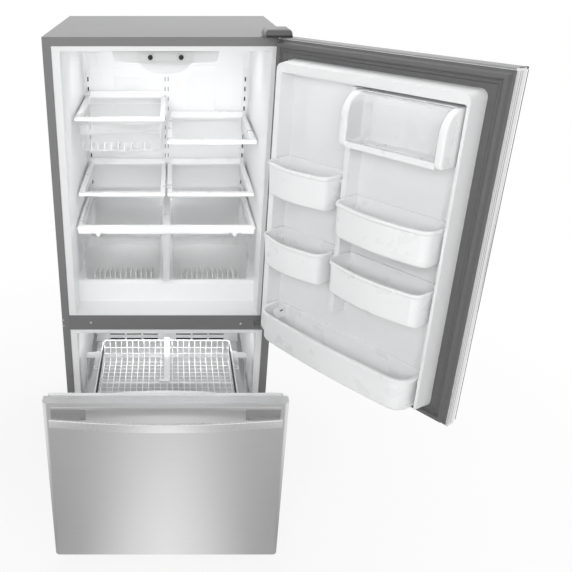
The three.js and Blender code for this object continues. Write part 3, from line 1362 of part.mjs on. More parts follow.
const cabinet = new THREE.Group();
cabinet.add(
  node('outer_case', outerCase(), materials.casePaint),
  node('machine_cover', machineCover(), materials.casePaint),
  node('cabinet_insulation', cabinetInsulation(), materials.foam),
  node('food_liner', foodLiner(), materials.white),
  node('freezer_liner', freezerLiner(), materials.white),
  node('mullion_rail', mullionRail(), materials.casePaint),
  node('base_frame', baseFrame(), materials.zinc),
  node('rear_rollers', rearRollers(), materials.blackPlastic),
  node('top_hinge', topHinge(), materials.zinc),
  node('top_hinge_cover', topHingeCover(), materials.greyPlastic),
  node('centre_hinge', centreHinge(), materials.zinc),
  node('control_housing', controlHousing(), materials.white),
  node('fridge_knob', knob(-1), materials.blackPlastic),
  node('freezer_knob', knob(1), materials.blackPlastic),
  node('light_lens', lightLens(), materials.clear),
  node('ladder_left', sideLadder(-1), materials.white),
  node('ladder_right', sideLadder(1), materials.white),
  node('ladder_centre', ladder(-13, 13, [-centreColumn, centreColumn]), materials.white),
  node('crisper_cover', crisperCover(), materials.white),
  node('crisper_cover_glass', crisperCoverGlass(), materials.glass),
  node('humidity_slider_left', humiditySlider(-1), materials.white),
  node('humidity_slider_right', humiditySlider(1), materials.white),
  node('crisper_left', crisper(-1), materials.clear),
  node('crisper_right', crisper(1), materials.clear),
  node('deli_drawer', deliDrawer(), materials.clear),
  node('evaporator_cover', evaporatorCover(), materials.white),
  node('compressor', compressor(), materials.machine),
  node('condenser_fan', condenserFan(), materials.blackPlastic),
  node('slide_outer_left', outerRail(-1), materials.zinc),
  node('slide_outer_right', outerRail(1), materials.zinc),
);
const shelfPlaces = {
  upper_left: [leftShelf, shelfTops.upperLeft],
  upper_right: [rightShelf, shelfTops.upperRight],
  middle_left: [leftShelf, shelfTops.middle],
  middle_right: [rightShelf, shelfTops.middle],
};
for (const [name, [[x0, x1], top]] of Object.entries(shelfPlaces)) {
  cabinet.add(node(`shelf_${name}_frame`, shelfFrame(x0, x1, top, name === 'upper_left'), materials.white));
  cabinet.add(node(`shelf_${name}_glass`, shelfGlass(x0, x1, top), materials.glass));
}

const door = new THREE.Group();
door.position.set(-pinX, -pinY, 0);
door.add(
  node('door_skin', doorSkin(), materials.stainless),
  node('door_top_cap', topCap(), materials.greyPlastic),
  node('door_insulation', doorInsulation(), materials.foam),
  node('door_liner', doorLiner(), materials.white),
  node('door_gasket', doorGasket(), materials.seal),
  node('door_handle', doorHandle(), materials.stainless),
  node('dairy_housing', dairyHousing(), materials.white),
  node('dairy_lid', dairyLid(), materials.clear),
  node('small_bin_upper', doorBin(...smallBinSpan, smallBinRims[0], binHeight, binReach), materials.white),
  node('small_bin_lower', doorBin(...smallBinSpan, smallBinRims[1], binHeight, binReach), materials.white),
  node('large_bin_upper', doorBin(...largeBinSpan, largeBinRims[0], binHeight, binReach), materials.white),
  node('large_bin_lower', doorBin(...largeBinSpan, largeBinRims[1], binHeight, binReach), materials.white),
  node('bottom_bin', doorBin(smallBinSpan[0], largeBinSpan[1], bottomBinRim, bottomBinHeight,
    bottomBinReach),
    materials.white),
);
const doorSwing = new THREE.Group();
doorSwing.position.set(pinX, pinY, 0);
doorSwing.rotation.z = THREE.MathUtils.degToRad(doorOpenAngle);
doorSwing.add(door);

const drawer = new THREE.Group();
drawer.position.y = -drawerOut;
drawer.add(
  node('drawer_skin', drawerSkin(), materials.stainless),
  node('drawer_liner', drawerLiner(), materials.white),
  node('drawer_gasket', drawerGasket(), materials.seal),
  node('drawer_handle', drawerHandle(), materials.stainless),
  node('drawer_frame', drawerFrame(), materials.zinc),
  node('lower_bin', lowerBin(), materials.white),
  node('upper_basket', upperBasket(), materials.coatedWire),
);
const middleRails = new THREE.Group();
middleRails.position.y = -drawerOut / 2;
middleRails.add(
  node('slide_middle_left', middleRail(-1), materials.zinc),
  node('slide_middle_right', middleRail(1), materials.zinc),
);

// the row's origin is the centre of the footprint on the floor, open door and drawer included
const refrigerator = new THREE.Group();
refrigerator.add(cabinet, doorSwing, drawer, middleRails);
refrigerator.updateMatrixWorld(true);
const reach = new THREE.Box3().setFromObject(refrigerator, true);
refrigerator.position.x = -(reach.min.x + reach.max.x) / 2;
refrigerator.position.y = -(reach.min.y + reach.max.y) / 2;

export default refrigerator;
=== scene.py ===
"""Bottom-freezer refrigerator with its door swung open and its freezer drawer pulled out."""

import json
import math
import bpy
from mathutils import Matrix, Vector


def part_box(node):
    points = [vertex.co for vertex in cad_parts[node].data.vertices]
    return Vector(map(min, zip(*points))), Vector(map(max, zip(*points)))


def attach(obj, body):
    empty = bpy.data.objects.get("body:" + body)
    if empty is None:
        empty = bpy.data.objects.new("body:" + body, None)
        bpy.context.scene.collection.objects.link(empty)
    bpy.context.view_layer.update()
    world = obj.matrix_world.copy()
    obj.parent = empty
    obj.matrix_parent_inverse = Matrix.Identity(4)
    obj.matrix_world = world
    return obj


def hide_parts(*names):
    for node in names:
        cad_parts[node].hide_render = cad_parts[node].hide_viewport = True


bl_info = {
    "name": "Bottom-Freezer Refrigerator",
    "version": (1, 0, 0),
    "blender": (4, 5, 0),
    "location": "View3D > Sidebar > Refrigerator",
    "description": "Dresses the refrigerator frame with finishes, trim and a studio stage",
    "category": "Object",
}

import bmesh
import bpy
from bpy.props import FloatProperty, FloatVectorProperty, IntProperty, PointerProperty
from bpy.types import Operator, Panel, PropertyGroup
from mathutils import Matrix, Vector

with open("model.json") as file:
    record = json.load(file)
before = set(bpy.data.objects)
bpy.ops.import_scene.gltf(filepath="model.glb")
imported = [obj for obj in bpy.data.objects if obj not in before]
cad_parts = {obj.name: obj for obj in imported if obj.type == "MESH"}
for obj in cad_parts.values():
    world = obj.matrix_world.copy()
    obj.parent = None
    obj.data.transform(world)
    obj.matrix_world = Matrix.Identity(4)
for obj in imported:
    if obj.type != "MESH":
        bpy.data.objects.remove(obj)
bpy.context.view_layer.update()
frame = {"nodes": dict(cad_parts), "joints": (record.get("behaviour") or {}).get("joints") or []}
NODES = frame["nodes"]

case_low, case_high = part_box("outer_case")
CENTRE_X = (case_low.x + case_high.x) / 2
FRONT_Y = case_low.y
JOINTS = {joint["name"]: joint for joint in frame["joints"]}


def place(x, y, z):
    """A place in the frame, in metres, from millimetres off the centre line, front plane and floor."""
    return Vector((CENTRE_X + x / 1000, FRONT_Y + y / 1000, z / 1000))


def swung(pin, angle):
    """A turn about the upright line through a place."""
    return Matrix.Translation(pin) @ Matrix.Rotation(angle, 4, "Z") @ Matrix.Translation(-pin)


# Pieces are drawn on the closed refrigerator, in metres off the cabinet's centre line, front plane
# and floor, and are then carried to where their part of it stands at rest.
CABINET = Matrix.Translation(place(0, 0, 0))
PIN = Vector(JOINTS["door_swing"]["pos_m"])
DOOR = swung(PIN, -math.radians(JOINTS["door_swing"]["range_deg"][0])) @ CABINET
DRAWER = Matrix.Translation((0, JOINTS["freezer_drawer_slide"]["range_m"][0], 0)) @ CABINET


def extent(node, space=CABINET):
    """Lowest and highest corner of a frame node on the closed refrigerator, in millimetres."""
    back = space.inverted()
    corners = [back @ vertex.co for vertex in NODES[node].data.vertices]
    return ([min(c[i] for c in corners) * 1000 for i in range(3)],
            [max(c[i] for c in corners) * 1000 for i in range(3)])


# ---------------------------------------------------------------- node trees


class Tree:
    """A small helper that builds one material's node tree."""

    def __init__(self, name):
        self.material = bpy.data.materials.new(name)
        self.material.use_nodes = True
        self.nodes = self.material.node_tree.nodes
        self.links = self.material.node_tree.links
        self.shader = self.nodes["Principled BSDF"]
        self.coords = self.add("ShaderNodeTexCoord")

    def add(self, kind, **values):
        """A new node, with its settings and sockets filled in by name."""
        node = self.nodes.new(kind)
        for key, value in values.items():
            if hasattr(node, key):
                setattr(node, key, value)
            else:
                node.inputs[key.replace("_", " ")].default_value = value
        return node

    def link(self, source, socket, target, target_socket):
        """Joins a node's output to a socket of another."""
        self.links.new(source.outputs[socket], target.inputs[target_socket])

    def mapped(self, scale):
        """The piece's own coordinates, scaled."""
        mapping = self.add("ShaderNodeMapping", Scale=scale)
        self.link(self.coords, "Object", mapping, "Vector")
        return mapping

    def noise(self, scale, stretch=(1, 1, 1), detail=4.0, roughness=0.55):
        """A noise over the piece's own coordinates."""
        node = self.add("ShaderNodeTexNoise", Scale=scale, Detail=detail, Roughness=roughness)
        self.link(self.mapped(stretch), "Vector", node, "Vector")
        return node

    def ramp(self, source, socket, stops):
        """A colour ramp through (position, colour) stops."""
        node = self.add("ShaderNodeValToRGB")
        while len(node.color_ramp.elements) < len(stops):
            node.color_ramp.elements.new(0.5)
        for element, (position, colour) in zip(node.color_ramp.elements, stops):
            element.position = position
            element.color = (*colour, 1) if len(colour) == 3 else colour
        self.link(source, socket, node, "Fac")
        return node

    def spread(self, source, socket, low, high):
        """Maps the middle of a noise to a range."""
        node = self.add("ShaderNodeMapRange", From_Min=0.3, From_Max=0.7, To_Min=low, To_Max=high)
        self.link(source, socket, node, "Value")
        return node

    def bump(self, source, socket, strength, distance):
        """Roughens the surface by a noise, over a distance in metres."""
        node = self.add("ShaderNodeBump", Strength=strength, Distance=distance)
        self.link(source, socket, node, "Height")
        self.link(node, "Normal", self.shader, "Normal")
        return node

    def colours(self, source, socket, dark, light):
        """Lets a noise run the base colour from dark to light."""
        node = self.ramp(source, socket, [(0.1, dark), (0.9, light)])
        self.link(node, "Color", self.shader, "Base Color")
        return node

    def set(self, **values):
        """Fills in the shader's sockets by name."""
        for key, value in values.items():
            self.shader.inputs[key.replace("_", " ")].default_value = value
        return self


def tint(colour, factor):
    """A colour made lighter or darker, kept below white."""
    return tuple(min(1.0, c * factor) for c in colour[:3])


# ---------------------------------------------------------------- finishes


def moulded_plastic(name, colour, roughness):
    """Injection-moulded plastic: faint mottling and a fine pebble in the gloss."""
    grain, pebble_depth = 900.0, 0.00006
    tree = Tree(name)
    mottle = tree.noise(14.0, detail=3.0)
    tree.colours(mottle, "Fac", tint(colour, 0.985), tint(colour, 1.01))
    pebble = tree.noise(grain, detail=2.0)
    gloss = tree.spread(mottle, "Fac", roughness - 0.05, roughness + 0.06)
    tree.link(gloss, "Result", tree.shader, "Roughness")
    tree.bump(pebble, "Fac", 0.25, pebble_depth)
    tree.set(Specular_IOR_Level=0.45)
    return tree.material


def brushed_steel(name, colour, grain_axis, roughness=0.3, relief=0.3):
    """Stainless sheet with a long fine brush grain along one axis."""
    long, fine, brush_depth = 0.6, 60, 0.00008
    tree = Tree(name)
    along = [long if axis == grain_axis else fine for axis in "XYZ"]
    brush = tree.noise(16.0, along, detail=6.0, roughness=0.7)
    smudge = tree.noise(2.2, detail=2.0)
    tree.colours(brush, "Fac", tint(colour, 0.95), tint(colour, 1.04))
    gloss = tree.add("ShaderNodeMath", operation="ADD")
    tree.link(tree.spread(brush, "Fac", roughness - 0.04, roughness + 0.05), "Result", gloss, 0)
    tree.link(tree.spread(smudge, "Fac", -0.02, 0.03), "Result", gloss, 1)
    tree.link(gloss, "Value", tree.shader, "Roughness")
    tree.bump(brush, "Fac", relief, brush_depth)
    grain = tree.add("ShaderNodeCombineXYZ")
    grain.inputs[grain_axis].default_value = 1.0
    tree.link(grain, "Vector", tree.shader, "Tangent")
    tree.set(Metallic=1.0, Anisotropic=0.6)
    return tree.material


def painted_steel(name, colour, roughness=0.4):
    """Textured appliance enamel with a light orange peel."""
    tree = Tree(name)
    tone = tree.noise(5.0, detail=2.0)
    tree.colours(tone, "Fac", tint(colour, 0.96), tint(colour, 1.03))
    peel = tree.noise(520.0, detail=2.5)
    tree.bump(peel, "Fac", 0.3, 0.00012)
    gloss = tree.spread(peel, "Fac", roughness - 0.05, roughness + 0.08)
    tree.link(gloss, "Result", tree.shader, "Roughness")
    tree.set(Specular_IOR_Level=0.5)
    return tree.material


def plated_steel(name, colour, roughness=0.38):
    """Zinc-plated pressings: soft spangle and handling marks."""
    tree = Tree(name)
    spangle = tree.noise(120.0, detail=2.0)
    tree.colours(spangle, "Fac", tint(colour, 0.9), tint(colour, 1.06))
    gloss = tree.spread(spangle, "Fac", roughness - 0.08, roughness + 0.1)
    tree.link(gloss, "Result", tree.shader, "Roughness")
    tree.bump(spangle, "Fac", 0.15, 0.0001)
    tree.set(Metallic=0.9)
    return tree.material


def clear_plastic(name, colour, roughness, alpha, edge_alpha):
    """Clear styrene or glass: seen through head on, closing up and shining where it turns away."""
    tree = Tree(name)
    flow = tree.noise(7.0, (1, 1, 3), detail=2.0)
    tree.colours(flow, "Fac", tint(colour, 0.97), tint(colour, 1.02))
    tree.bump(flow, "Fac", 0.08, 0.0005)
    gloss = tree.spread(flow, "Fac", roughness, roughness + 0.04)
    tree.link(gloss, "Result", tree.shader, "Roughness")
    edge = tree.add("ShaderNodeLayerWeight", Blend=0.4)
    body = tree.add("ShaderNodeMapRange", From_Min=0.15, To_Min=alpha, To_Max=edge_alpha)
    tree.link(edge, "Facing", body, "Value")
    tree.link(body, "Result", tree.shader, "Alpha")
    tree.set(IOR=1.5, Specular_IOR_Level=0.6)
    return tree.material


def seal_rubber(name, colour):
    """Soft vinyl seal with a dusty, matt surface."""
    tree = Tree(name)
    dust = tree.noise(40.0, detail=4.0)
    tree.colours(dust, "Fac", tint(colour, 0.88), tint(colour, 1.1))
    tree.bump(dust, "Fac", 0.2, 0.0002)
    gloss = tree.spread(dust, "Fac", 0.5, 0.68)
    tree.link(gloss, "Result", tree.shader, "Roughness")
    return tree.material


def foam_core(name, colour):
    """Poured insulation foam, seen only at unpainted edges."""
    tree = Tree(name)
    cells = tree.noise(260.0, detail=3.0)
    tree.colours(cells, "Fac", tint(colour, 0.85), tint(colour, 1.08))
    tree.bump(cells, "Fac", 0.5, 0.0006)
    tree.set(Roughness=0.9)
    return tree.material


def cast_black(name, colour):
    """Black stove-enamelled shell of the compressor."""
    tree = Tree(name)
    tone = tree.noise(60.0, detail=3.0)
    tree.colours(tone, "Fac", tint(colour, 0.8), tint(colour, 1.25))
    tree.bump(tone, "Fac", 0.2, 0.0002)
    gloss = tree.spread(tone, "Fac", 0.35, 0.5)
    tree.link(gloss, "Result", tree.shader, "Roughness")
    return tree.material


# ---------------------------------------------------------------- frame nodes


def soften(node, width=0.0012, segments=2, angle=32.0):
    """Welds a frame node's loose triangles, clears flat seams and rounds its edges.

    A width of 0 leaves the edges crisp and smooths only what bends gently."""
    piece = NODES[node]
    for polygon in piece.data.polygons:
        polygon.use_smooth = True
    weld = piece.modifiers.new("Weld", "WELD")
    weld.merge_threshold = 0.00002
    clean = piece.modifiers.new("Flats", "DECIMATE")
    clean.decimate_type = "DISSOLVE"
    clean.angle_limit = math.radians(0.6)
    if width:
        bevel = piece.modifiers.new("Edges", "BEVEL")
        bevel.width = width
        bevel.segments = segments
        bevel.limit_method = "ANGLE"
        bevel.angle_limit = math.radians(angle)
        bevel.use_clamp_overlap = True
    else:
        split = piece.modifiers.new("Crisp edges", "EDGE_SPLIT")
        split.split_angle = math.radians(angle)
    even = piece.modifiers.new("Even shading", "WEIGHTED_NORMAL")
    even.mode = "FACE_AREA"
    even.weight = 60
    return piece


def finish_nodes(material, *nodes, width=0.0012, segments=2, angle=32.0):
    """Rounds the edges of frame nodes and gives them one finish."""
    for node in nodes:
        piece = soften(node, width, segments, angle)
        piece.data.materials.clear()
        piece.data.materials.append(material)


# ---------------------------------------------------------------- modelling

# A face looks along a direction when its normal and the direction agree this closely, and two places
# are the same when they are less than a hair apart, in metres.
ALONG, HAIR = 0.95, 1e-5


def nothing_selected():
    """Leaves edit mode and clears the selection."""
    if bpy.context.mode != "OBJECT":
        bpy.ops.object.mode_set(mode="OBJECT")
    bpy.ops.object.select_all(action="DESELECT")


def alone(piece):
    """Makes one piece the only one selected, and the active one."""
    nothing_selected()
    piece.select_set(True)
    bpy.context.view_layer.objects.active = piece


def edit(piece):
    """Opens a piece for editing."""
    alone(piece)
    bpy.ops.object.mode_set(mode="EDIT")


def done():
    """Closes the piece that is open."""
    bpy.ops.object.mode_set(mode="OBJECT")


def pick(piece, kind, test):
    """Selects the vertices, edges or faces that pass the test, in edit mode."""
    bpy.ops.mesh.select_mode(type=kind)
    bpy.ops.mesh.select_all(action="DESELECT")
    form = bmesh.from_edit_mesh(piece.data)
    parts = {"VERT": form.verts, "EDGE": form.edges, "FACE": form.faces}[kind]
    chosen = [part for part in parts if test(part)]
    for part in chosen:
        part.select_set(True)
    bmesh.update_edit_mesh(piece.data)
    if not chosen:
        raise RuntimeError(f"{piece.name}: nothing to pick")


def shift(x=0.0, y=0.0, z=0.0):
    """Moves what is selected, in millimetres."""
    bpy.ops.transform.translate(value=(x / 1000, y / 1000, z / 1000))


def extrude(x=0.0, y=0.0, z=0.0):
    """Draws what is selected out, in millimetres."""
    bpy.ops.mesh.extrude_region_move(TRANSFORM_OT_translate={"value": (x / 1000, y / 1000, z / 1000)})


def cut(axis, *places):
    """Cuts the piece that is open across an axis, at places in millimetres."""
    lane = {"x": 0, "y": 1, "z": 2}[axis]
    for spot in places:
        bpy.ops.mesh.select_mode(type="VERT")
        bpy.ops.mesh.select_all(action="SELECT")
        point, aim = [0, 0, 0], [0, 0, 0]
        point[lane], aim[lane] = spot / 1000, 1
        bpy.ops.mesh.bisect(plane_co=point, plane_no=aim)


def between(low, high):
    """A test for faces whose middle lies inside a box given in millimetres."""
    def test(face):
        middle = face.calc_center_median() * 1000
        return all(a <= m <= b for a, m, b in zip(low, middle, high))
    return test


def inset(wall, depth=0.0):
    """Insets the selected faces and moves them along their normal, in millimetres."""
    bpy.ops.mesh.inset(thickness=wall / 1000, depth=depth / 1000)


def round_edges(piece, test, radius, segments):
    """Rounds the edges that pass the test, in millimetres."""
    pick(piece, "EDGE", test)
    bpy.ops.mesh.bevel(offset=radius / 1000, segments=segments, affect="EDGES")


def upright(edge):
    """Tests for an edge that runs up."""
    a, b = (v.co for v in edge.verts)
    return abs(a.x - b.x) < HAIR and abs(a.y - b.y) < HAIR and abs(a.z - b.z) > 10 * HAIR


def crosswise(edge):
    """Tests for an edge that runs from side to side."""
    a, b = (v.co for v in edge.verts)
    return abs(a.y - b.y) < HAIR and abs(a.z - b.z) < HAIR and abs(a.x - b.x) > 10 * HAIR


def middle(edge):
    """The middle of an edge, in millimetres."""
    return (edge.verts[0].co + edge.verts[1].co) * 500


def block(name, x, y, z):
    """A cuboid between two places on each axis, in millimetres."""
    nothing_selected()
    spans = [sorted(span) for span in (x, y, z)]
    bpy.ops.mesh.primitive_cube_add(
        size=1, location=[(a + b) / 2000 for a, b in spans], scale=[(b - a) / 1000 for a, b in spans])
    piece = bpy.context.object
    piece.name = name
    bpy.ops.object.transform_apply(location=True, rotation=True, scale=True)
    return piece


def disc(name, centre, axis, radius, height, sides):
    """A short cylinder that stands on its centre, in millimetres, along an axis."""
    nothing_selected()
    away = Vector(axis).normalized()
    bpy.ops.mesh.primitive_cylinder_add(
        vertices=sides, radius=radius / 1000, depth=height / 1000,
        location=Vector(centre) / 1000 + away * height / 2000,
        rotation=away.to_track_quat("Z", "Y").to_euler())
    piece = bpy.context.object
    piece.name = name
    bpy.ops.object.transform_apply(location=True, rotation=True, scale=True)
    return piece


def facing(x=0, y=0, z=0):
    """A test for faces that look along a direction."""
    aim = Vector((x, y, z)).normalized()
    return lambda face: face.normal.dot(aim) > ALONG


def widest(piece, x=0, y=0, z=0):
    """A test for the faces that look along a direction and lie farthest along it."""
    aim = Vector((x, y, z)).normalized()
    form = bmesh.from_edit_mesh(piece.data)
    reach = max(f.calc_center_median().dot(aim) for f in form.faces if f.normal.dot(aim) > ALONG)
    return lambda face: face.normal.dot(aim) > ALONG and face.calc_center_median().dot(aim) > reach - HAIR


def wire(name, radius, points, bend=0.0, closed=False, resolution=1):
    """A round wire through the points, in millimetres, with its corners bent."""
    nothing_selected()
    bpy.ops.mesh.primitive_plane_add(size=0.001, location=Vector(points[0]) / 1000)
    bpy.ops.object.transform_apply(location=True, rotation=True, scale=True)
    piece = bpy.context.object
    piece.name = name
    edit(piece)
    bpy.ops.mesh.select_mode(type="VERT")
    bpy.ops.mesh.select_all(action="SELECT")
    bpy.ops.mesh.merge(type="CENTER")
    for here, there in zip(points, points[1:]):
        extrude(*(Vector(there) - Vector(here)))
    if closed:
        pick(piece, "VERT", lambda v: len(v.link_edges) == 1)
        bpy.ops.mesh.edge_face_add()
    if bend:
        pick(piece, "VERT", lambda v: len(v.link_edges) == 2)
        bpy.ops.mesh.bevel(offset=bend / 1000, segments=4, affect="VERTICES")
    done()
    bpy.ops.object.convert(target="CURVE")
    line = bpy.context.object.data
    line.bevel_depth = radius / 1000
    line.bevel_resolution = resolution
    line.use_fill_caps = not closed
    bpy.ops.object.convert(target="MESH")
    piece = bpy.context.object
    edit(piece)
    bpy.ops.mesh.select_all(action="SELECT")
    bpy.ops.mesh.remove_doubles(threshold=0.00001)
    bpy.ops.mesh.normals_make_consistent(inside=False)
    done()
    return piece


def repeated(piece, steps):
    """Copies a piece to each step, in millimetres, each copy with its own mesh."""
    every = [piece]
    for step in steps:
        alone(piece)
        bpy.ops.object.duplicate(linked=False)
        twin = bpy.context.object
        twin.location = Vector(step) / 1000
        bpy.ops.object.transform_apply(location=True, rotation=True, scale=True)
        every.append(twin)
    return joined(every)


def joined(pieces):
    """Joins the pieces into the first one."""
    nothing_selected()
    for piece in pieces:
        piece.select_set(True)
    bpy.context.view_layer.objects.active = pieces[0]
    bpy.ops.object.join()
    return bpy.context.object


def settle(piece, space, body, material, nodes=(), edge=0.0, segments=3, angle=30.0):
    """Carries a finished piece to its place, rounds its edges and hands it to its body."""
    alone(piece)
    piece.matrix_world = space
    bpy.ops.object.transform_apply(location=True, rotation=True, scale=True)
    if edge:
        bevel = piece.modifiers.new("Edges", "BEVEL")
        bevel.width = edge / 1000
        bevel.segments = segments
        bevel.limit_method = "ANGLE"
        bevel.angle_limit = math.radians(angle)
        bevel.harden_normals = True
        bpy.ops.object.shade_smooth()
        bpy.ops.object.modifier_apply(modifier="Edges")
    else:
        bpy.ops.object.shade_smooth_by_angle(angle=math.radians(angle))
    piece.data.materials.clear()
    piece.data.materials.append(material)
    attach(piece, body)
    if nodes:
        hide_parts(*nodes)
    return piece


# ---------------------------------------------------------------- shapes of the refrigerator
# Sizes and places from here on are in millimetres on the closed refrigerator: x off its centre line,
# y back from its front plane and z up from its floor. The slots follow the frame's ladders, the shelves
# run between two depths, and BACK_WALL is the depth of the food compartment's back wall.

AHEAD, BEHIND, LEFTWARD, RIGHTWARD = (0, -1, 0), (0, 1, 0), (-1, 0, 0), (1, 0, 0)
SLOT_PITCH, SLOT_HEIGHT, SLOT_DEPTH = 38, 18, 6.5
BACK_WALL, SHELF_FRONT, SHELF_BACK = 602.6, 184.0, 590.6
DIAL_SPACING, DIAL_HEIGHT = 48.6, 1605.4


def plate(name, x, y, z, look, margin, lift):
    """A thin plate whose face towards a direction has a raised or sunk field."""
    piece = block(name, x, y, z)
    edit(piece)
    pick(piece, "FACE", facing(*look))
    inset(margin, lift)
    done()
    return piece


def divided(left, right, spans):
    """The places that divide a length into equal spans, without its ends."""
    return [left + (right - left) * i / spans for i in range(1, spans)]


def bow_out(piece, left, right, spans, depth, test):
    """Pushes the columns of a divided face back, deepest at its middle."""
    for i, place_x in enumerate(divided(left, right, spans), 1):
        at = place_x / 1000
        pick(piece, "VERT", lambda v: abs(v.co.x - at) < 1e-4 and test(v))
        shift(y=depth * math.sin(math.pi * i / spans))


def bin_tub(node, rim_width, corner, bow):
    """A door bin: bowed front, rolled rim and tapered tub, moulded in one piece."""
    rim_height, wall, taper, spans = 9, 2.6, 10, 16
    tuck, heel, heel_width, floor_rise, crease = 3.0, 7.0, 2.6, 6, 3.0
    low, high = extent(node, DOOR)
    front, back, deep = high[1] - bow, low[1], high[2] - low[2]
    piece = block(f"{node}_tub", (low[0], high[0]), (back, front), (high[2] - rim_height, high[2]))
    edit(piece)
    round_edges(piece, lambda e: upright(e) and abs(middle(e).y - front) < 0.01, corner, 7)
    pick(piece, "EDGE", lambda e: crosswise(e) and abs(middle(e).y - front) < 0.01)
    bpy.ops.mesh.subdivide(number_cuts=spans - 1)
    bow_out(piece, low[0] + corner, high[0] - corner, spans, bow, lambda v: abs(v.co.y - front / 1000) < 1e-5)
    anchor = ((low[0] + high[0]) / 2000, back / 1000, high[2] / 1000)

    def lean(reach):
        """Draws the selected face's front back by a reach."""
        bpy.ops.transform.resize(value=(1, 1 - reach / (front + bow - back), 1), center_override=anchor)

    pick(piece, "FACE", facing(z=-1))
    inset(rim_width - wall, tuck)
    inset(1.0, deep - rim_height - tuck - heel)
    lean(taper * 0.6)
    inset(heel_width, heel)
    lean(taper * 0.4)
    pick(piece, "FACE", widest(piece, z=1))
    inset(rim_width)
    inset(1.2, -(deep - wall - floor_rise))
    lean(taper * 0.8)
    inset(crease, -floor_rise)
    done()
    return piece


def cup(name, x, y, z):
    """A clear moulded tub with a flat rim and a small heel round its floor."""
    wall, taper, corner, rim = 2.4, 6, 14, 3.0
    heel, heel_width, ledge = 6, 4.0, 3.0
    deep = z[1] - z[0]
    piece = block(name, x, y, (z[1] - rim, z[1]))
    edit(piece)
    round_edges(piece, upright, corner, 5)
    pick(piece, "FACE", facing(z=-1))
    inset(ledge)
    inset(taper * 0.8, deep - rim - heel)
    inset(heel_width, heel)
    pick(piece, "FACE", widest(piece, z=1))
    inset(ledge + wall)
    inset(taper * 0.8, -(deep - wall - heel))
    inset(heel_width, -heel)
    done()
    return piece


def floor_ribs(x, y, floor, rise, count):
    """Tapering ribs that run back from a drawer's front, standing on its floor."""
    margin, half_width, tail_height = 30, 2.2, 2
    every = []
    for i in range(count):
        across = x[0] + margin + (x[1] - x[0] - 2 * margin) * (i + 0.5) / count
        rib = block("rib", (across - half_width, across + half_width), y, (floor, floor + rise))
        edit(rib)
        pick(rib, "VERT", lambda v: v.co.y * 1000 > y[1] - 1 and v.co.z * 1000 > floor + 1)
        shift(z=tail_height - rise)
        pick(rib, "FACE", facing(*AHEAD))
        inset(0.9, 0.8)
        done()
        every.append(rib)
    return joined(every)


def wavy_lip(name, x, y, z, dip):
    """A pull lip across a drawer's front, with a softly waving lower edge."""
    spans = 24
    piece = block(name, x, y, z)
    edit(piece)
    cut("x", *divided(*x, spans))
    for i, place_x in enumerate(divided(*x, spans), 1):
        at = place_x / 1000
        pick(piece, "VERT", lambda v: abs(v.co.x - at) < 1e-5 and v.co.z < (z[0] + 0.01) / 1000)
        shift(z=dip * 0.5 * (1 - math.cos(2 * math.pi * i / spans)))
    done()
    return piece


def ladder_strip(node, columns, slot_width):
    """A steel channel on the back wall, pierced by columns of shelf slots."""
    low, high = extent(node)
    rows = []
    while high[2] - SLOT_PITCH * (len(rows) + 1) > low[2] + SLOT_PITCH / 2:
        rows.append(high[2] - SLOT_PITCH * (len(rows) + 1))
    piece = block(f"{node}_channel", (low[0], high[0]), (low[1], high[1]), (low[2], high[2]))
    edit(piece)
    cut("x", *[x + side * slot_width / 2 for x in columns for side in (-1, 1)])
    cut("z", *[z + side * SLOT_HEIGHT / 2 for z in rows for side in (-1, 1)])
    slots = [between((x - 0.6, low[1] - 1, z - 2), (x + 0.6, low[1] + 1, z + 2))
             for x in columns for z in rows]
    pick(piece, "FACE", lambda f: any(test(f) for test in slots))
    inset(0.2, -SLOT_DEPTH)
    done()
    return piece


def shade_slots(strip, node, tone):
    """Paints the bottoms of a ladder's slots dark: painted shade for the depth behind them."""
    face = FRONT_Y + extent(node)[0][1] / 1000
    strip.data.materials.append(tone)
    for polygon in strip.data.polygons:
        if polygon.center.y - face > 0.002 and abs(polygon.normal.z) < 0.5 and polygon.normal.y < -0.5:
            polygon.material_index = 1


def wall_ridges():
    """The low rounded ridges that frame the fields of the food compartment's back wall."""
    inner, outer = (1180, 1500), (1120, 1542)
    every = [ridge(x, inner, 5, 0.9) for x in ((-206, -70), (58, 196))]
    every += [ridge(x, outer, 4, 1.4) for x in ((-330, -298), (298, 330))]
    ridges = joined(every)
    ridges.name = "Back_wall_ridges"
    return ridges


def ridge(x, z, width, height):
    """A low rounded ridge round a rectangle on the back wall."""
    corner = 9
    piece = block("ridge", x, (BACK_WALL - 0.3, BACK_WALL + 1.0), z)
    edit(piece)
    round_edges(piece, lambda e: abs(e.verts[0].co.y - e.verts[1].co.y) > 1e-4, corner, 4)
    pick(piece, "FACE", facing(*AHEAD))
    inset(width * 0.35, height)
    inset(width * 0.3, 0)
    inset(width * 0.35, -height)
    done()
    return piece


def control_panel(front):
    """The outlined panel that the two dials stand on."""
    stand, border, groove = 0.6, 4.5, 0.7
    piece = block("Control_panel", (-88, 88), (front - 0.7, front + 1), (1587.5, 1624))
    edit(piece)
    pick(piece, "FACE", facing(*AHEAD))
    inset(1.2, stand)
    inset(border, 0)
    inset(groove, -groove)
    done()
    return piece


def dial_marks(front):
    """Plain ticks round each dial."""
    radius, half_width, half_height, turn = 13.5, 0.7, 1.1, math.radians(38)
    ticks = []
    for side in (-1, 1):
        for i in range(-3, 4):
            x = side * DIAL_SPACING + radius * math.sin(turn * i)
            z = DIAL_HEIGHT + radius * math.cos(turn * i)
            ticks.append(plate("tick", (x - half_width, x + half_width), (front - 1.1, front - 0.2),
                               (z - half_height, z + half_height), AHEAD, 0.2, 0.1))
    marks = joined(ticks)
    marks.name = "Dial_marks"
    return marks


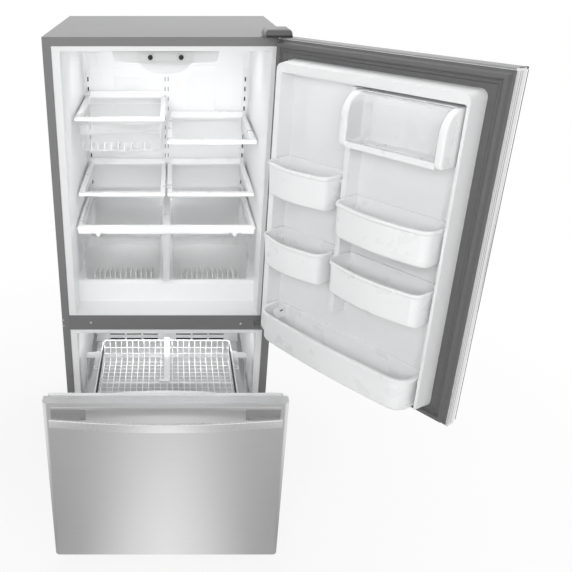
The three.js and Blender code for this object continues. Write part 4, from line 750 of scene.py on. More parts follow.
def shelf_rim(node, rail):
    """The moulded frame of one shelf, with a sloping lip along its back.

    rail is the width of its sides. Gives the frame, its pane and the two bars under its sides."""
    lip_height, lip_depth, lip_crest, lip_rise = 20, 14, 5, 16
    thick, seat, step = 12, 1.6, 2.0
    lead, tail = rail + 5, rail + 1
    low, high = extent(node)
    top = high[2] - lip_height
    x0, x1, front, back = low[0], high[0], SHELF_FRONT, SHELF_BACK
    piece = block(f"{node}_rim", (x0, x1), (front, back), (top - thick, top))
    edit(piece)
    pick(piece, "FACE", facing(z=1))
    inset(rail)
    pick(piece, "VERT", lambda v: abs(v.co.y * 1000 - front - rail) < 0.01)
    shift(y=lead - rail)
    pick(piece, "FACE", between((x0 + rail, front + lead, top - 1), (x1 - rail, back - rail, top + 1)))
    inset(seat, -step)
    pick(piece, "FACE", facing(z=-1))
    inset(rail + seat)
    sill = front + rail + seat
    pick(piece, "VERT", lambda v: abs(v.co.y * 1000 - sill) < 0.01 and v.co.z * 1000 < top - thick + 1)
    shift(y=lead - rail)
    inner = between((x0 + rail + 1, front + lead + 1, top - thick - 1), (x1 - rail - 1, back - tail, top - 1))
    pick(piece, "FACE", lambda f: inner(f) and abs(f.normal.z) > 0.9)
    bpy.ops.mesh.bridge_edge_loops()
    pick(piece, "FACE", between((x0, back - lip_depth, top - 0.1), (x1, back, top + 0.1)))
    extrude(z=lip_rise)
    pick(piece, "VERT", lambda v: v.co.z * 1000 > top + 10 and v.co.y * 1000 < back - lip_crest)
    shift(y=rail - lip_crest)
    done()
    pane = shelf_pane(node, (x0, x1), (front + lead, back - rail), rail, top - step)
    return piece, pane, shelf_arms(node, (x0, x1), (front, back), top)


def shelf_pane(node, x, y, rail, top):
    """The shelf's glass, let into its frame."""
    under, thick, corner = 4, 3.4, 4
    pane = block(f"{node}_pane", (x[0] + rail - under, x[1] - rail + under), (y[0] - under - 1, y[1] + under),
                 (top - 0.2 - thick, top - 0.2))
    edit(pane)
    round_edges(pane, upright, corner, 3)
    done()
    return pane


def shelf_arms(node, sides, depth, top):
    """The two steel bars that hook into the ladders, deepest at the back."""
    half_width, inward, nose, deep, gap, rise, corner = 1.3, 14, 36, 60, 11.5, 41, 12
    front, back, low = depth[0] + nose, depth[1] - 1, top - deep + 10
    pair = []
    for x in (sides[0] + inward, sides[1] - inward):
        arm = block("arm", (x - half_width, x + half_width), (front, back), (top - deep, top - gap))
        edit(arm)
        pick(arm, "VERT", lambda v: v.co.y * 1000 < front + 4 and v.co.z * 1000 < low)
        shift(z=rise)
        round_edges(arm, lambda e: crosswise(e) and middle(e).z < low, corner, 4)
        done()
        pair.append(arm)
    arms = joined(pair)
    arms.name = f"{node}_arms"
    return arms


def clear_drawer(node, ribs, margins):
    """A clear drawer's tub, its waving pull lip and its floor ribs; margins are its side clearances."""
    low, high = extent(node)
    span = (low[0] + margins[0], high[0] - margins[1])
    tub = cup(f"{node}_tub", span, (low[1] + 6, high[1]), (low[2], high[2] - 1))
    lip = wavy_lip(f"{node}_lip", (span[0] + 8, span[1] - 8), (low[1] + 0.5, low[1] + 4),
                   (high[2] - 36, high[2] - 4), 9)
    slats = floor_ribs(span, (low[1] + 20, low[1] + 120), low[2] + 2.2, 26, ribs)
    return tub, lip, slats


def crisper_web():
    """The post between the two crispers, with a sunk field down its front."""
    piece = block("Crisper_web", (-12.5, 12.5), (121, 127), (795, 985))
    edit(piece)
    pick(piece, "FACE", facing(*AHEAD))
    inset(4)
    inset(1.5, -1.5)
    done()
    return piece


def seal_loop(name, span_x, span_z, base, profile, reach):
    """A door seal: lips, fold and magnet crest run round the door, mitred at the corners.

    profile holds (step inward, step up) pairs; reach is how far each side's inner lip goes on, as
    (low x, high x, low z, high z) places."""
    piece = block(name, span_x, (base, base + 0.8), span_z)
    edit(piece)
    pick(piece, "FACE", facing(*BEHIND))
    for inward, up in profile:
        inset(inward, up)
    total = sum(inward for inward, _ in profile)
    pick(piece, "FACE", between((span_x[0] + total, -1e4, span_z[0] + total),
                                (span_x[1] - total, 1e4, span_z[1] - total)))
    ring = [("x", span_x[0] + total, reach[0]), ("x", span_x[1] - total, reach[1]),
            ("z", span_z[0] + total, reach[2]), ("z", span_z[1] - total, reach[3])]
    for axis, at, goal in ring:
        lane = 0 if axis == "x" else 2
        pick(piece, "VERT", lambda v: abs(v.co[lane] * 1000 - at) < 0.05)
        shift(**{axis: goal - at})
    inner = between((reach[0] + 1, base + 0.9, reach[2] + 1), (reach[1] - 1, base + 60, reach[3] - 1))
    pick(piece, "FACE", lambda f: inner(f) and f.normal.y > 0.99 and f.calc_area() > 0.2)
    bpy.ops.mesh.delete(type="FACE")
    pick(piece, "FACE", facing(*AHEAD))
    bpy.ops.mesh.delete(type="FACE")
    pick(piece, "EDGE", lambda e: len(e.link_faces) == 1)
    bpy.ops.mesh.bridge_edge_loops()
    bpy.ops.mesh.select_all(action="SELECT")
    bpy.ops.mesh.normals_make_consistent(inside=False)
    done()
    return piece


def door_seal():
    """The seal round the door, from the edge of its sheet in to the liner's raised border."""
    edge, stand = 0.5, 3.2
    outer_lip, inner_lip = [(5, 2.5), (2, 1.0)], [(4, -5.5), (3, 0)]
    crest, fold = [(2.5, 12.3), (4, 1.2), (4, 0), (3, -1.2)], [(2.5, -9.0), (2, -1.0), (4, 2.0), (3, 0.4)]
    low, high = extent("door_liner", DOOR)
    border = (-310.0, 326.0, low[2] + 57.0, 1618.0)
    x, z = (low[0] + edge, high[0] - edge), (low[2] + edge, high[2] - edge)
    return seal_loop("Door_seal", x, z, low[1] + stand, outer_lip + crest + fold + inner_lip, border)


def corner_shade():
    """A black block on the top free corner of the door's sheet: painted shade for the dark gap between the
    sheet and its end cap.
    """
    corner = 3.5
    low, high = extent("door_skin", DOOR)
    corner_block = block("Door_corner_shade", (low[0] + 0.4, low[0] + 9), (low[1] + 0.5, low[1] + 32),
                (high[2] - 5, high[2] + 0.8))
    edit(corner_block)
    round_edges(corner_block, upright, corner, 4)
    done()
    return corner_block


def return_creases():
    """The folds down the free edge of the door's sheet, drawn as thin dark strips of painted shade."""
    width = 1.6
    low, high = extent("door_skin", DOOR)
    x, z = (low[0] - 0.15, low[0] + 1), (low[2] + 8, high[2] - 6)
    folds = (low[1] + 2.5, low[1] + 27, high[1] - 5)
    creases = joined([plate("crease", x, (y, y + width), z, LEFTWARD, 0.4, 0.05) for y in folds])
    creases.name = "Door_return_creases"
    return creases


def dairy_shell(node, cheek):
    """Dairy compartment: two thick rounded cheeks, floor with a lip, back and top."""
    nose_radius, heel_radius, cheek_radius = 58, 16, 0.0055
    lip_thick, lip_height = 4, 13
    low, high = extent(node, DOOR)
    x0, x1, back, nose, z0, z1 = low[0], high[0], low[1], high[1], low[2], high[2]

    def fore(edge):
        """Tests for an edge across the front of a cheek."""
        return crosswise(edge) and middle(edge).y > nose - 1

    parts = []
    for a, b in ((x0, x0 + cheek), (x1 - cheek, x1)):
        side = block("cheek", (a, b), (back, nose), (z0, z1))
        edit(side)
        round_edges(side, lambda e: fore(e) and middle(e).z > z1 - 1, nose_radius, 10)
        round_edges(side, lambda e: fore(e) and middle(e).z < z0 + 1, heel_radius, 5)
        done()
        alone(side)
        soft = side.modifiers.new("Soft edges", "BEVEL")
        soft.width = cheek_radius
        soft.segments = 4
        soft.limit_method = "ANGLE"
        soft.angle_limit = math.radians(50)
        bpy.ops.object.modifier_apply(modifier="Soft edges")
        parts.append(side)
    inner = (x0 + cheek - 2, x1 - cheek + 2)
    floor = block("floor", inner, (back, nose - 9), (z0 + 0.2, z0 + 3.4))
    edit(floor)
    pick(floor, "FACE", facing(*BEHIND))
    extrude(y=lip_thick)
    pick(floor, "FACE", lambda f: f.normal.z > 0.9 and f.calc_center_median().y * 1000 > nose - 9)
    extrude(z=lip_height)
    done()
    parts.append(floor)
    rear = block("rear", inner, (back, back + 3), (z0 + 1, z1 - 1))
    edit(rear)
    pick(rear, "FACE", facing(z=1))
    extrude(z=0.5)
    pick(rear, "FACE", lambda f: f.normal.y > 0.9 and f.calc_area() > 0.01)
    inset(12, 0)
    inset(3, 1.2)
    done()
    parts.append(rear)
    hinge_line = extent("dairy_lid", DOOR)[0][1]
    parts.append(plate("top", inner, (back + 2, hinge_line - 1), (z1 - 3.2, z1 - 0.3), BEHIND, 0.6, 0.6))
    shell = joined(parts)
    shell.name = "Dairy_shell"
    return shell


def dairy_flap(node, cheek):
    """The clear flip-up lid: a rounded sheet with closed ends and a curved thumb pull."""
    gap, wall, nose_radius = 0.8, 0.0026, 52
    pull_half, pull_spans, pull_bow = 34, 10, 4.5
    shell_low, shell_high = extent("dairy_housing", DOOR)
    low, high = extent(node, DOOR)
    x0, x1 = shell_low[0] + cheek + gap, shell_high[0] - cheek - gap
    back, nose, z0, z1 = low[1], high[1] - 8, low[2], high[2]
    piece = block(f"{node}_sheet", (x0, x1), (back, nose), (z0, z1))
    edit(piece)
    round_edges(piece, lambda e: crosswise(e) and middle(e).y > nose - 1 and middle(e).z > z1 - 1,
                nose_radius, 12)
    pick(piece, "FACE", lambda f: f.normal.z < -0.9 or f.normal.y < -0.9)
    bpy.ops.mesh.delete(type="FACE")
    done()
    alone(piece)
    sheet = piece.modifiers.new("Wall", "SOLIDIFY")
    sheet.thickness = wall
    sheet.offset = -1
    bpy.ops.object.modifier_apply(modifier="Wall")
    ends = ((x0 + x1) / 2 - pull_half, (x0 + x1) / 2 + pull_half)
    pull = block("pull", ends, (nose - 1, nose + 3), (z0 + 1, z0 + 5))
    edit(pull)
    cut("x", *divided(*ends, pull_spans))
    bow_out(pull, *ends, pull_spans, pull_bow, lambda v: v.co.y * 1000 > nose + 2)
    done()
    return joined([piece, pull])


def bottle_clip(x, y, z):
    """A sliding bottle stop: a quarter-round white blade, hooked over the bin's back."""
    thick, long, deep, belly, brow = 3, 62, 44, 40, 6
    piece = block("Bottle_clip", (x, x + thick), (y, y + long), (z - deep, z))
    edit(piece)

    def fore(edge):
        """Tests for an edge through the front of the blade."""
        return abs(edge.verts[0].co.x - edge.verts[1].co.x) > 0.002 and middle(edge).y > y + long - 1

    round_edges(piece, lambda e: fore(e) and middle(e).z < z - deep + 1, belly, 8)
    round_edges(piece, lambda e: fore(e) and middle(e).z > z - 1, brow, 4)
    done()
    foot = plate("clip_foot", (x - 7, x + 10), (y - 1.4, y + 4), (z - 30, z + 2), BEHIND, 1.5, 0.8)
    return joined([piece, foot])


def screw(centre, radius):
    """A pan-head screw that looks ahead, with a domed head and a cross recess."""
    piece = disc("screw_head", centre, AHEAD, radius, radius * 0.34, 20)
    edit(piece)
    pick(piece, "FACE", widest(piece, *AHEAD))
    inset(radius * 0.28, radius * 0.16)
    inset(radius * 0.3, radius * 0.04)
    inset(radius * 0.1, -radius * 0.22)
    done()
    return piece


def rail_screws():
    """Two screws in the rail between the compartments, and two smaller ones beside it."""
    front = extent("mullion_rail")[0][1]
    heads = [screw((x, front, z), 4.2) for x, z in ((-274, 686), (270, 682))]
    heads += [screw((-373, 0, z), 2.4) for z in (697, 673)]
    screws = joined(heads)
    screws.name = "Rail_screws"
    return screws


def hinge_plate():
    """The black plate between the top hinge's cover and the door."""
    corner = 5
    low, high = extent("top_hinge_cover")
    piece = block("Hinge_plate", (low[0] + 4, high[0] - 0.5), (low[1] - 1.2, low[1] + 26),
                  (low[2] - 0.7, low[2] + 6))
    edit(piece)
    round_edges(piece, lambda e: upright(e) and middle(e).y < low[1], corner, 4)
    done()
    return piece


def drawer_crown():
    """The bowed top of the white panel behind the drawer's front."""
    ends, spans, bow = (-236, 236), 16, 24
    piece = block("Drawer_panel_crown", ends, (0.4, 34), (562, 635))
    edit(piece)
    cut("x", *divided(*ends, spans))
    bow_out(piece, *ends, spans, bow, lambda v: v.co.y > 0.003)
    done()
    return piece


def handle_pockets():
    """A grey plate on the sheet behind each end of the drawer's handle: partly the handle's end mount, partly
    painted shade and reflection that darken the sheet there.
    """
    pockets = joined([plate("pocket", (side * 353, side * 246), (-63.4, -61), (606, 645), AHEAD, 4, -0.5)
                      for side in (-1, 1)])
    pockets.name = "Drawer_handle_pockets"
    return pockets


def tray_shadow_strips(pitch):
    """Dark slips along both sides of the wire tray, under its rim: painted shade for the dark gaps seen
    through its side wires.
    """
    count = 18
    sides = []
    for side, look in ((-1, RIGHTWARD), (1, LEFTWARD)):
        shadow_slip = plate("shadow_slip", (side * 240.2, side * 242.4), (70, 85), (508, 541), look, 2, -0.5)
        sides.append(repeated(shadow_slip, [(0, pitch * i, 0) for i in range(1, count)]))
    strips = joined(sides)
    strips.name = "Tray_side_shadow_strips"
    return strips


def tray_divider():
    """The white bar that parts the wire tray, with a foot at its front and a web below."""
    foot_end, web_deep, web = 252, 74, (-0.5, 4.5)
    piece = block("Tray_divider", (-8, 12), (238, 544), (545, 553))
    edit(piece)
    cut("y", foot_end)
    pick(piece, "FACE", between((-9, 238, 540), (-7, foot_end, 556)))
    extrude(x=-17)
    cut("x", *web)
    beneath = between((web[0] - 0.1, foot_end - 2, 540), (web[1] + 0.1, 560, 550))
    pick(piece, "FACE", lambda f: f.normal.z < -0.9 and beneath(f))
    extrude(z=-web_deep)
    done()
    return piece


def wire_tray(gauge, long_gap, cross_gap):
    """The freezer's upper tray in round wire, with a heavier rim and two hangers on each side."""
    half, end, drop, tall, r = 242.0, 4, 8, 82, gauge / 2
    low, high = extent("upper_basket", DRAWER)
    y0, y1, rim = low[1] + end, high[1] - end, high[2] - drop
    floor = rim - tall
    inner = half - r - 1.0

    count = round(2 * half / long_gap)
    longs = wire("long_wire", r, [(-inner, y0, rim), (-inner, y0, floor), (-inner, y1, floor),
                                  (-inner, y1, rim)], 12)
    longs = repeated(longs, [(2 * inner * i / count, 0, 0) for i in range(1, count + 1)])

    start, run, side = y0 + 18, y1 - y0 - 36, half + r
    count = round(run / cross_gap)
    under = floor - gauge
    cross = wire("cross_wire", r, [(-side, start, rim), (-side, start, under), (side, start, under),
                                   (side, start, rim)], 14)
    cross = repeated(cross, [(0, run / count * i, 0) for i in range(1, count + 1)])

    hoop = wire("rim_wire", gauge * 0.75, around(half + 1, y0 - 1, y1 + 1, rim + 1.5), 20, True, 2)
    bands = [wire("side_wire", r, around(half + gauge, y0, y1, floor + lift), 18, True)
             for lift in (26.0, 52.0)]
    hooks = []
    for turn in (-1, 1):
        for share in (0.12, 0.6):
            y = y0 + (y1 - y0) * share
            edge, out = turn * (half + 2), turn * (half + 19)
            hooks.append(wire("hanger", r * 1.2, [(edge, y - 11, rim + 1), (out, y - 11, rim - 5),
                                                  (out, y + 11, rim - 5), (edge, y + 11, rim + 1)], 5))
    tray = joined([longs, cross, hoop, *bands, *hooks])
    tray.name = "Wire_tray"
    return tray


def around(half, y0, y1, z):
    """The corners of a level rectangle."""
    return [(-half, y0, z), (half, y0, z), (half, y1, z), (-half, y1, z)]


# ---------------------------------------------------------------- settings

NYLON_BLACK, ENAMEL_BLACK, CAST_BLACK = (0.02, 0.02, 0.021), (0.015, 0.015, 0.016), (0.02, 0.02, 0.02)
# The three shades on the next line are painted shade: for the backs of slots and vents, and for the clip's
# slot.
DEEP_SHADE, HALF_SHADE, CLIP_SHADE = (0.012, 0.012, 0.012), (0.12, 0.12, 0.12), (0.03, 0.03, 0.03)
# The crease grey and the tray strip black on the next line are painted shade.
CREASE_SHADE_GREY, TRAY_SHADOW_BLACK, MARK_GREY = (0.13, 0.13, 0.132), (0.035, 0.035, 0.036), (0.28, 0.28, 0.29)
BASE_ZINC, SLIDE_ZINC, SCREW_NICKEL = (0.55, 0.56, 0.57), (0.6, 0.61, 0.62), (0.72, 0.72, 0.73)
FOAM_BEIGE, TRAY_WHITE = (0.7, 0.6, 0.35), (0.86, 0.865, 0.87)
PANE_TINT, LENS_TINT, LID_TINT = (0.93, 0.95, 0.945), (0.88, 0.885, 0.89), (0.92, 0.93, 0.94)
TUB_TINT, LIP_TINT, RIB_TINT = (0.95, 0.96, 0.965), (0.95, 0.955, 0.96), (0.98, 0.98, 0.98)


class RefrigeratorFinish(PropertyGroup):
    """Colours of the refrigerator's finishes."""

    cabinet: FloatVectorProperty(
        name="Cabinet", description="Painted cabinet sheet", subtype="COLOR", size=3,
        default=(0.2, 0.2, 0.204), min=0, max=1)
    rail: FloatVectorProperty(
        name="Rail", description="Painted rail between the compartments", subtype="COLOR", size=3,
        default=(0.185, 0.185, 0.188), min=0, max=1)
    steel: FloatVectorProperty(
        name="Stainless", description="Brushed stainless sheet", subtype="COLOR", size=3,
        default=(0.79, 0.79, 0.795), min=0, max=1)
    liner: FloatVectorProperty(
        name="Liner", description="White compartment plastic", subtype="COLOR", size=3,
        default=(0.84, 0.845, 0.85), min=0, max=1)
    bins: FloatVectorProperty(
        name="Bins", description="White door bins", subtype="COLOR", size=3,
        default=(0.86, 0.865, 0.87), min=0, max=1)
    seal: FloatVectorProperty(
        name="Seal", description="Grey door seals", subtype="COLOR", size=3,
        default=(0.125, 0.125, 0.127), min=0, max=1)
    trim: FloatVectorProperty(
        name="Trim", description="Grey plastic caps", subtype="COLOR", size=3,
        default=(0.3, 0.3, 0.305), min=0, max=1)


class RefrigeratorSizes(PropertyGroup):
    """Sizes of the wire tray, the dairy compartment and the clear drawers."""

    wire_gauge: FloatProperty(
        name="Wire gauge", description="Thickness of the tray's wires", subtype="DISTANCE",
        unit="LENGTH", default=0.0028, min=0.001)
    long_gap: FloatProperty(
        name="Long wire gap", description="Spacing of the wires that run back", subtype="DISTANCE",
        unit="LENGTH", default=0.022, min=0.01)
    cross_gap: FloatProperty(
        name="Cross wire gap", description="Spacing of the wires that run across", subtype="DISTANCE",
        unit="LENGTH", default=0.025, min=0.01)
    cheek: FloatProperty(
        name="Dairy cheek", description="Thickness of the dairy compartment's sides", subtype="DISTANCE",
        unit="LENGTH", default=0.021, min=0.01)
    crisper_ribs: IntProperty(
        name="Crisper ribs", description="Ribs on the floor of each crisper", default=12, min=1)
    deli_ribs: IntProperty(
        name="Deli ribs", description="Ribs on the floor of the deli drawer", default=10, min=1)


class RefrigeratorCamera(PropertyGroup):
    """The view of the photograph."""

    pitch: FloatProperty(
        name="Pitch", description="Tilt below the horizon", subtype="ANGLE",
        default=math.radians(25.65))
    lens: FloatProperty(
        name="Lens", description="Focal length in millimetres", default=45.04, min=10)
    across: FloatProperty(
        name="Across", description="Distance right of the cabinet's centre line", subtype="DISTANCE",
        unit="LENGTH", default=0.0129)
    back: FloatProperty(
        name="Back", description="Distance ahead of the cabinet's front plane", subtype="DISTANCE",
        unit="LENGTH", default=2.2867)
    height: FloatProperty(
        name="Height", description="Height above the floor", subtype="DISTANCE",
        unit="LENGTH", default=1.9321)
    shift: FloatProperty(
        name="Shift", description="Sideways shift of the frame", default=0.203)


# ---------------------------------------------------------------- operators


class REFRIGERATOR_OT_cabinet(Operator):
    """Finish the painted cabinet, its base and its back"""

    bl_idname = "refrigerator.cabinet"
    bl_label = "Cabinet"

    def execute(self, context):
        finish = context.scene.refrigerator_finish
        sheet = painted_steel("Cabinet enamel", finish.cabinet)
        finish_nodes(sheet, "outer_case", width=0.0016, segments=3)
        finish_nodes(sheet, "machine_cover", width=0.0004)
        finish_nodes(painted_steel("Rail enamel", finish.rail, 0.45), "mullion_rail", segments=3)
        finish_nodes(plated_steel("Zinc plate", BASE_ZINC), "base_frame", width=0.0005)
        black = moulded_plastic("Black nylon", NYLON_BLACK, 0.45)
        finish_nodes(black, "rear_rollers", "condenser_fan", width=0.0006)
        finish_nodes(cast_black("Compressor enamel", CAST_BLACK), "compressor", width=0.002)
        foam = foam_core("Insulation foam", FOAM_BEIGE)
        finish_nodes(foam, "cabinet_insulation", "door_insulation", width=0)
        bright = plated_steel("Screw nickel", SCREW_NICKEL, 0.3)
        settle(rail_screws(), CABINET, "cabinet", bright, angle=25)
        return {"FINISHED"}


class REFRIGERATOR_OT_compartments(Operator):
    """Finish the white liners, ladders and the evaporator cover"""

    bl_idname = "refrigerator.compartments"
    bl_label = "Compartments"

    def execute(self, context):
        finish = context.scene.refrigerator_finish
        liner = moulded_plastic("Liner plastic", finish.liner, 0.36)
        finish_nodes(liner, "food_liner", "freezer_liner", width=0.004, segments=3, angle=25)
        finish_nodes(liner, "evaporator_cover", width=0.0008)
        enamel = painted_steel("White enamel", finish.liner, 0.35)
        # Near-black and mid-grey painted shade for the backs of the ladder slots and the vents.
        deep = moulded_plastic("Slot shade", DEEP_SHADE, 0.7)
        half = moulded_plastic("Slot half shade", HALF_SHADE, 0.7)
        self.ladder("ladder_left", (-309,), 5.8, enamel, deep)
        self.ladder("ladder_right", (309,), 5.8, enamel, deep)
        self.ladder("ladder_centre", (-6, 6), 3.0, enamel, half)
        # A near-black plate behind the evaporator cover's vents: painted shade for the dark space behind
        # them.
        shade = plate("Vent_shade", (-262, 262), (549.2, 551), (296, 340), AHEAD, 2, -0.5)
        settle(shade, CABINET, "cabinet", deep)
        settle(wall_ridges(), CABINET, "cabinet", liner, angle=40)
        return {"FINISHED"}

    @staticmethod
    def ladder(node, columns, slot_width, enamel, tone):
        """A slotted ladder in place of its frame node."""
        strip = ladder_strip(node, columns, slot_width)
        settle(strip, CABINET, "cabinet", enamel, (node,))
        shade_slots(strip, node, tone)
        finish_nodes(enamel, node, width=0)


class REFRIGERATOR_OT_controls(Operator):
    """Finish the control housing, its knobs and the light cover"""

    bl_idname = "refrigerator.controls"
    bl_label = "Controls"

    def execute(self, context):
        liner = context.scene.refrigerator_finish.liner
        housing = moulded_plastic("Housing plastic", tint(liner, 0.72), 0.4)
        finish_nodes(housing, "control_housing", width=0.0015, segments=3)
        knob = moulded_plastic("Knob plastic", ENAMEL_BLACK, 0.3)
        finish_nodes(knob, "fridge_knob", "freezer_knob", width=0.0006)
        lens = clear_plastic("Light cover", LENS_TINT, 0.2, alpha=0.72, edge_alpha=0.9)
        finish_nodes(lens, "light_lens", width=0.002, segments=3)
        front = extent("control_housing")[0][1]
        panel = moulded_plastic("Panel plastic", tint(liner, 0.68), 0.36)
        settle(control_panel(front), CABINET, "cabinet", panel, edge=0.4, segments=2)
        ink = moulded_plastic("Dial mark ink", MARK_GREY, 0.5)
        settle(dial_marks(front), CABINET, "cabinet", ink)
        return {"FINISHED"}


class REFRIGERATOR_OT_shelves(Operator):
    """Finish the shelf rims and their glass"""

    bl_idname = "refrigerator.shelves"
    bl_label = "Shelves"

    def execute(self, context):
        finish = context.scene.refrigerator_finish
        rim = moulded_plastic("Shelf rim plastic", finish.bins, 0.3)
        glass = clear_plastic("Shelf glass", PANE_TINT, 0.03, alpha=0.045, edge_alpha=0.16)
        steel = painted_steel("Bracket enamel", finish.liner, 0.35)
        for place_name in ("upper_left", "upper_right", "middle_left", "middle_right"):
            frame_node, glass_node = f"shelf_{place_name}_frame", f"shelf_{place_name}_glass"
            moulding, pane, arms = shelf_rim(frame_node, rail=16.0)
            settle(moulding, CABINET, "cabinet", rim, (frame_node,), edge=2.0)
            settle(pane, CABINET, "cabinet", glass, (glass_node,), edge=0.5, segments=2)
            settle(arms, CABINET, "cabinet", steel, angle=25)
            finish_nodes(rim, frame_node, width=0)
            finish_nodes(glass, glass_node, width=0)
        finish_nodes(rim, "crisper_cover", width=0.0014, segments=3)
        finish_nodes(rim, "humidity_slider_left", "humidity_slider_right", width=0.0006)
        finish_nodes(glass, "crisper_cover_glass", width=0.0008)
        return {"FINISHED"}


class REFRIGERATOR_OT_clear_drawers(Operator):
    """Finish the clear crispers and the deli drawer"""

    bl_idname = "refrigerator.clear_drawers"
    bl_label = "Clear drawers"

    def execute(self, context):
        finish, sizes = context.scene.refrigerator_finish, context.scene.refrigerator_sizes
        clear = clear_plastic("Drawer styrene", TUB_TINT, 0.06, alpha=0.05, edge_alpha=0.4)
        milky = clear_plastic("Drawer lip styrene", LIP_TINT, 0.1, alpha=0.12, edge_alpha=0.5)
        # The floor ribs are the drawers' clear styrene drawn near-white and mostly opaque: painted highlight
        # for the light they catch.
        bright = clear_plastic("Drawer rib painted highlight", RIB_TINT, 0.1, alpha=0.55, edge_alpha=0.9)
        for node, ribs, margins in (("crisper_left", sizes.crisper_ribs, (14, 12)),
                                    ("crisper_right", sizes.crisper_ribs, (12, 14)),
                                    ("deli_drawer", sizes.deli_ribs, (3, 3))):
            tub, lip, slats = clear_drawer(node, ribs, margins)
            settle(tub, CABINET, f"{node}_body", clear, (node,), edge=0.7, segments=2)
            settle(lip, CABINET, f"{node}_body", milky, edge=1.2)
            settle(slats, CABINET, f"{node}_body", bright, angle=40)
            finish_nodes(clear, node, width=0)
        post = moulded_plastic("Web plastic", tint(finish.liner, 0.75), 0.35)
        settle(crisper_web(), CABINET, "cabinet", post, edge=0.8, segments=2)
        return {"FINISHED"}


class REFRIGERATOR_OT_door(Operator):
    """Finish the door's sheet, top cap, seal, liner and handle, with painted shade at its free corner and
    edge folds
    """

    bl_idname = "refrigerator.door"
    bl_label = "Door"

    def execute(self, context):
        finish = context.scene.refrigerator_finish
        finish_nodes(brushed_steel("Door stainless", finish.steel, "Z"), "door_skin", width=0.0006)
        # The handle takes the sheet's colour lightened by a quarter, painted light for its brighter face; its
        # lower roughness and finer grain are its real smoother finish.
        lit_polished = brushed_steel("Door handle stainless", tint(finish.steel, 1.25), "Z", 0.26, relief=0.08)
        finish_nodes(lit_polished, "door_handle", width=0.0015, segments=3)
        finish_nodes(moulded_plastic("Cap plastic", finish.trim, 0.5), "door_top_cap", width=0.001)
        rubber = seal_rubber("Door seal", finish.seal)
        settle(door_seal(), DOOR, "door", rubber, ("door_gasket",), edge=0.8, segments=2)
        finish_nodes(rubber, "door_gasket", width=0)
        # A black block of painted shade at the door's top free corner.
        black = moulded_plastic("Corner painted shade", NYLON_BLACK, 0.35)
        settle(corner_shade(), DOOR, "door", black, edge=0.8, segments=2)
        # Dark grey painted shade in the door edge's folds.
        shade = moulded_plastic("Crease shade", CREASE_SHADE_GREY, 0.4)
        settle(return_creases(), DOOR, "door", shade, angle=40)
        liner = moulded_plastic("Door liner plastic", finish.liner, 0.34)
        finish_nodes(liner, "door_liner", width=0.004, segments=3, angle=25)
        return {"FINISHED"}


class REFRIGERATOR_OT_door_bins(Operator):
    """Finish the door bins and the dairy compartment"""

    bl_idname = "refrigerator.door_bins"
    bl_label = "Door bins"

    def execute(self, context):
        cheek = context.scene.refrigerator_sizes.cheek * 1000
        white = moulded_plastic("Bin plastic", context.scene.refrigerator_finish.bins, 0.3)
        for node in ("small_bin_upper", "small_bin_lower", "large_bin_upper", "large_bin_lower"):
            self.bin(node, white, rim_width=6.5, corner=34, bow=14)
        self.bin("bottom_bin", white, rim_width=11, corner=58, bow=10)
        settle(dairy_shell("dairy_housing", cheek), DOOR, "door", white, ("dairy_housing",),
               edge=0.5, segments=2)
        clear = clear_plastic("Dairy lid", LID_TINT, 0.05, alpha=0.1, edge_alpha=0.62)
        settle(dairy_flap("dairy_lid", cheek), DOOR, "dairy_lid_body", clear, ("dairy_lid",),
               edge=0.6, segments=2)
        finish_nodes(white, "dairy_housing", width=0)
        finish_nodes(clear, "dairy_lid", width=0)
        self.clip(white)
        return {"FINISHED"}

    @staticmethod
    def bin(node, white, rim_width, corner, bow):
        """A moulded bin in place of its frame node."""
        tub = bin_tub(node, rim_width, corner, bow)
        settle(tub, DOOR, f"{node}_body", white, (node,), edge=1.5)
        finish_nodes(white, node, width=0)

    @staticmethod
    def clip(white):
        """The bottle stop on the bottom bin, and a dark plate on its blade: painted shade for the slot
        through it.
        """
        low, high = extent("bottom_bin", DOOR)
        x, y, z = high[0] - 40, low[1] + 2, high[2] - 3
        settle(bottle_clip(x, y, z), DOOR, "bottom_bin_body", white, edge=0.8)
        # Painted shade: a dark plate where the slot goes through the blade.
        slot = plate("Bottle_clip_slot_shade", (x - 1, x - 0.4), (y + 20, y + 32), (z - 17, z - 12),
                     LEFTWARD, 0.8, 0.2)
        shade = moulded_plastic("Clip shade", CLIP_SHADE, 0.6)
        settle(slot, DOOR, "bottom_bin_body", shade)


class REFRIGERATOR_OT_hinges(Operator):
    """Finish the hinges and the cover on the top one"""

    bl_idname = "refrigerator.hinges"
    bl_label = "Hinges"

    def execute(self, context):
        finish = context.scene.refrigerator_finish
        black = painted_steel("Hinge enamel", ENAMEL_BLACK, 0.45)
        finish_nodes(black, "top_hinge", width=0.0006)
        finish_nodes(painted_steel("Centre hinge enamel", finish.rail, 0.45), "centre_hinge", width=0.0006)
        cover = moulded_plastic("Hinge cover plastic", tint(finish.trim, 0.38), 0.3)
        finish_nodes(cover, "top_hinge_cover", width=0.002, segments=3)
        settle(hinge_plate(), CABINET, "cabinet", black, edge=0.6, segments=2)
        return {"FINISHED"}


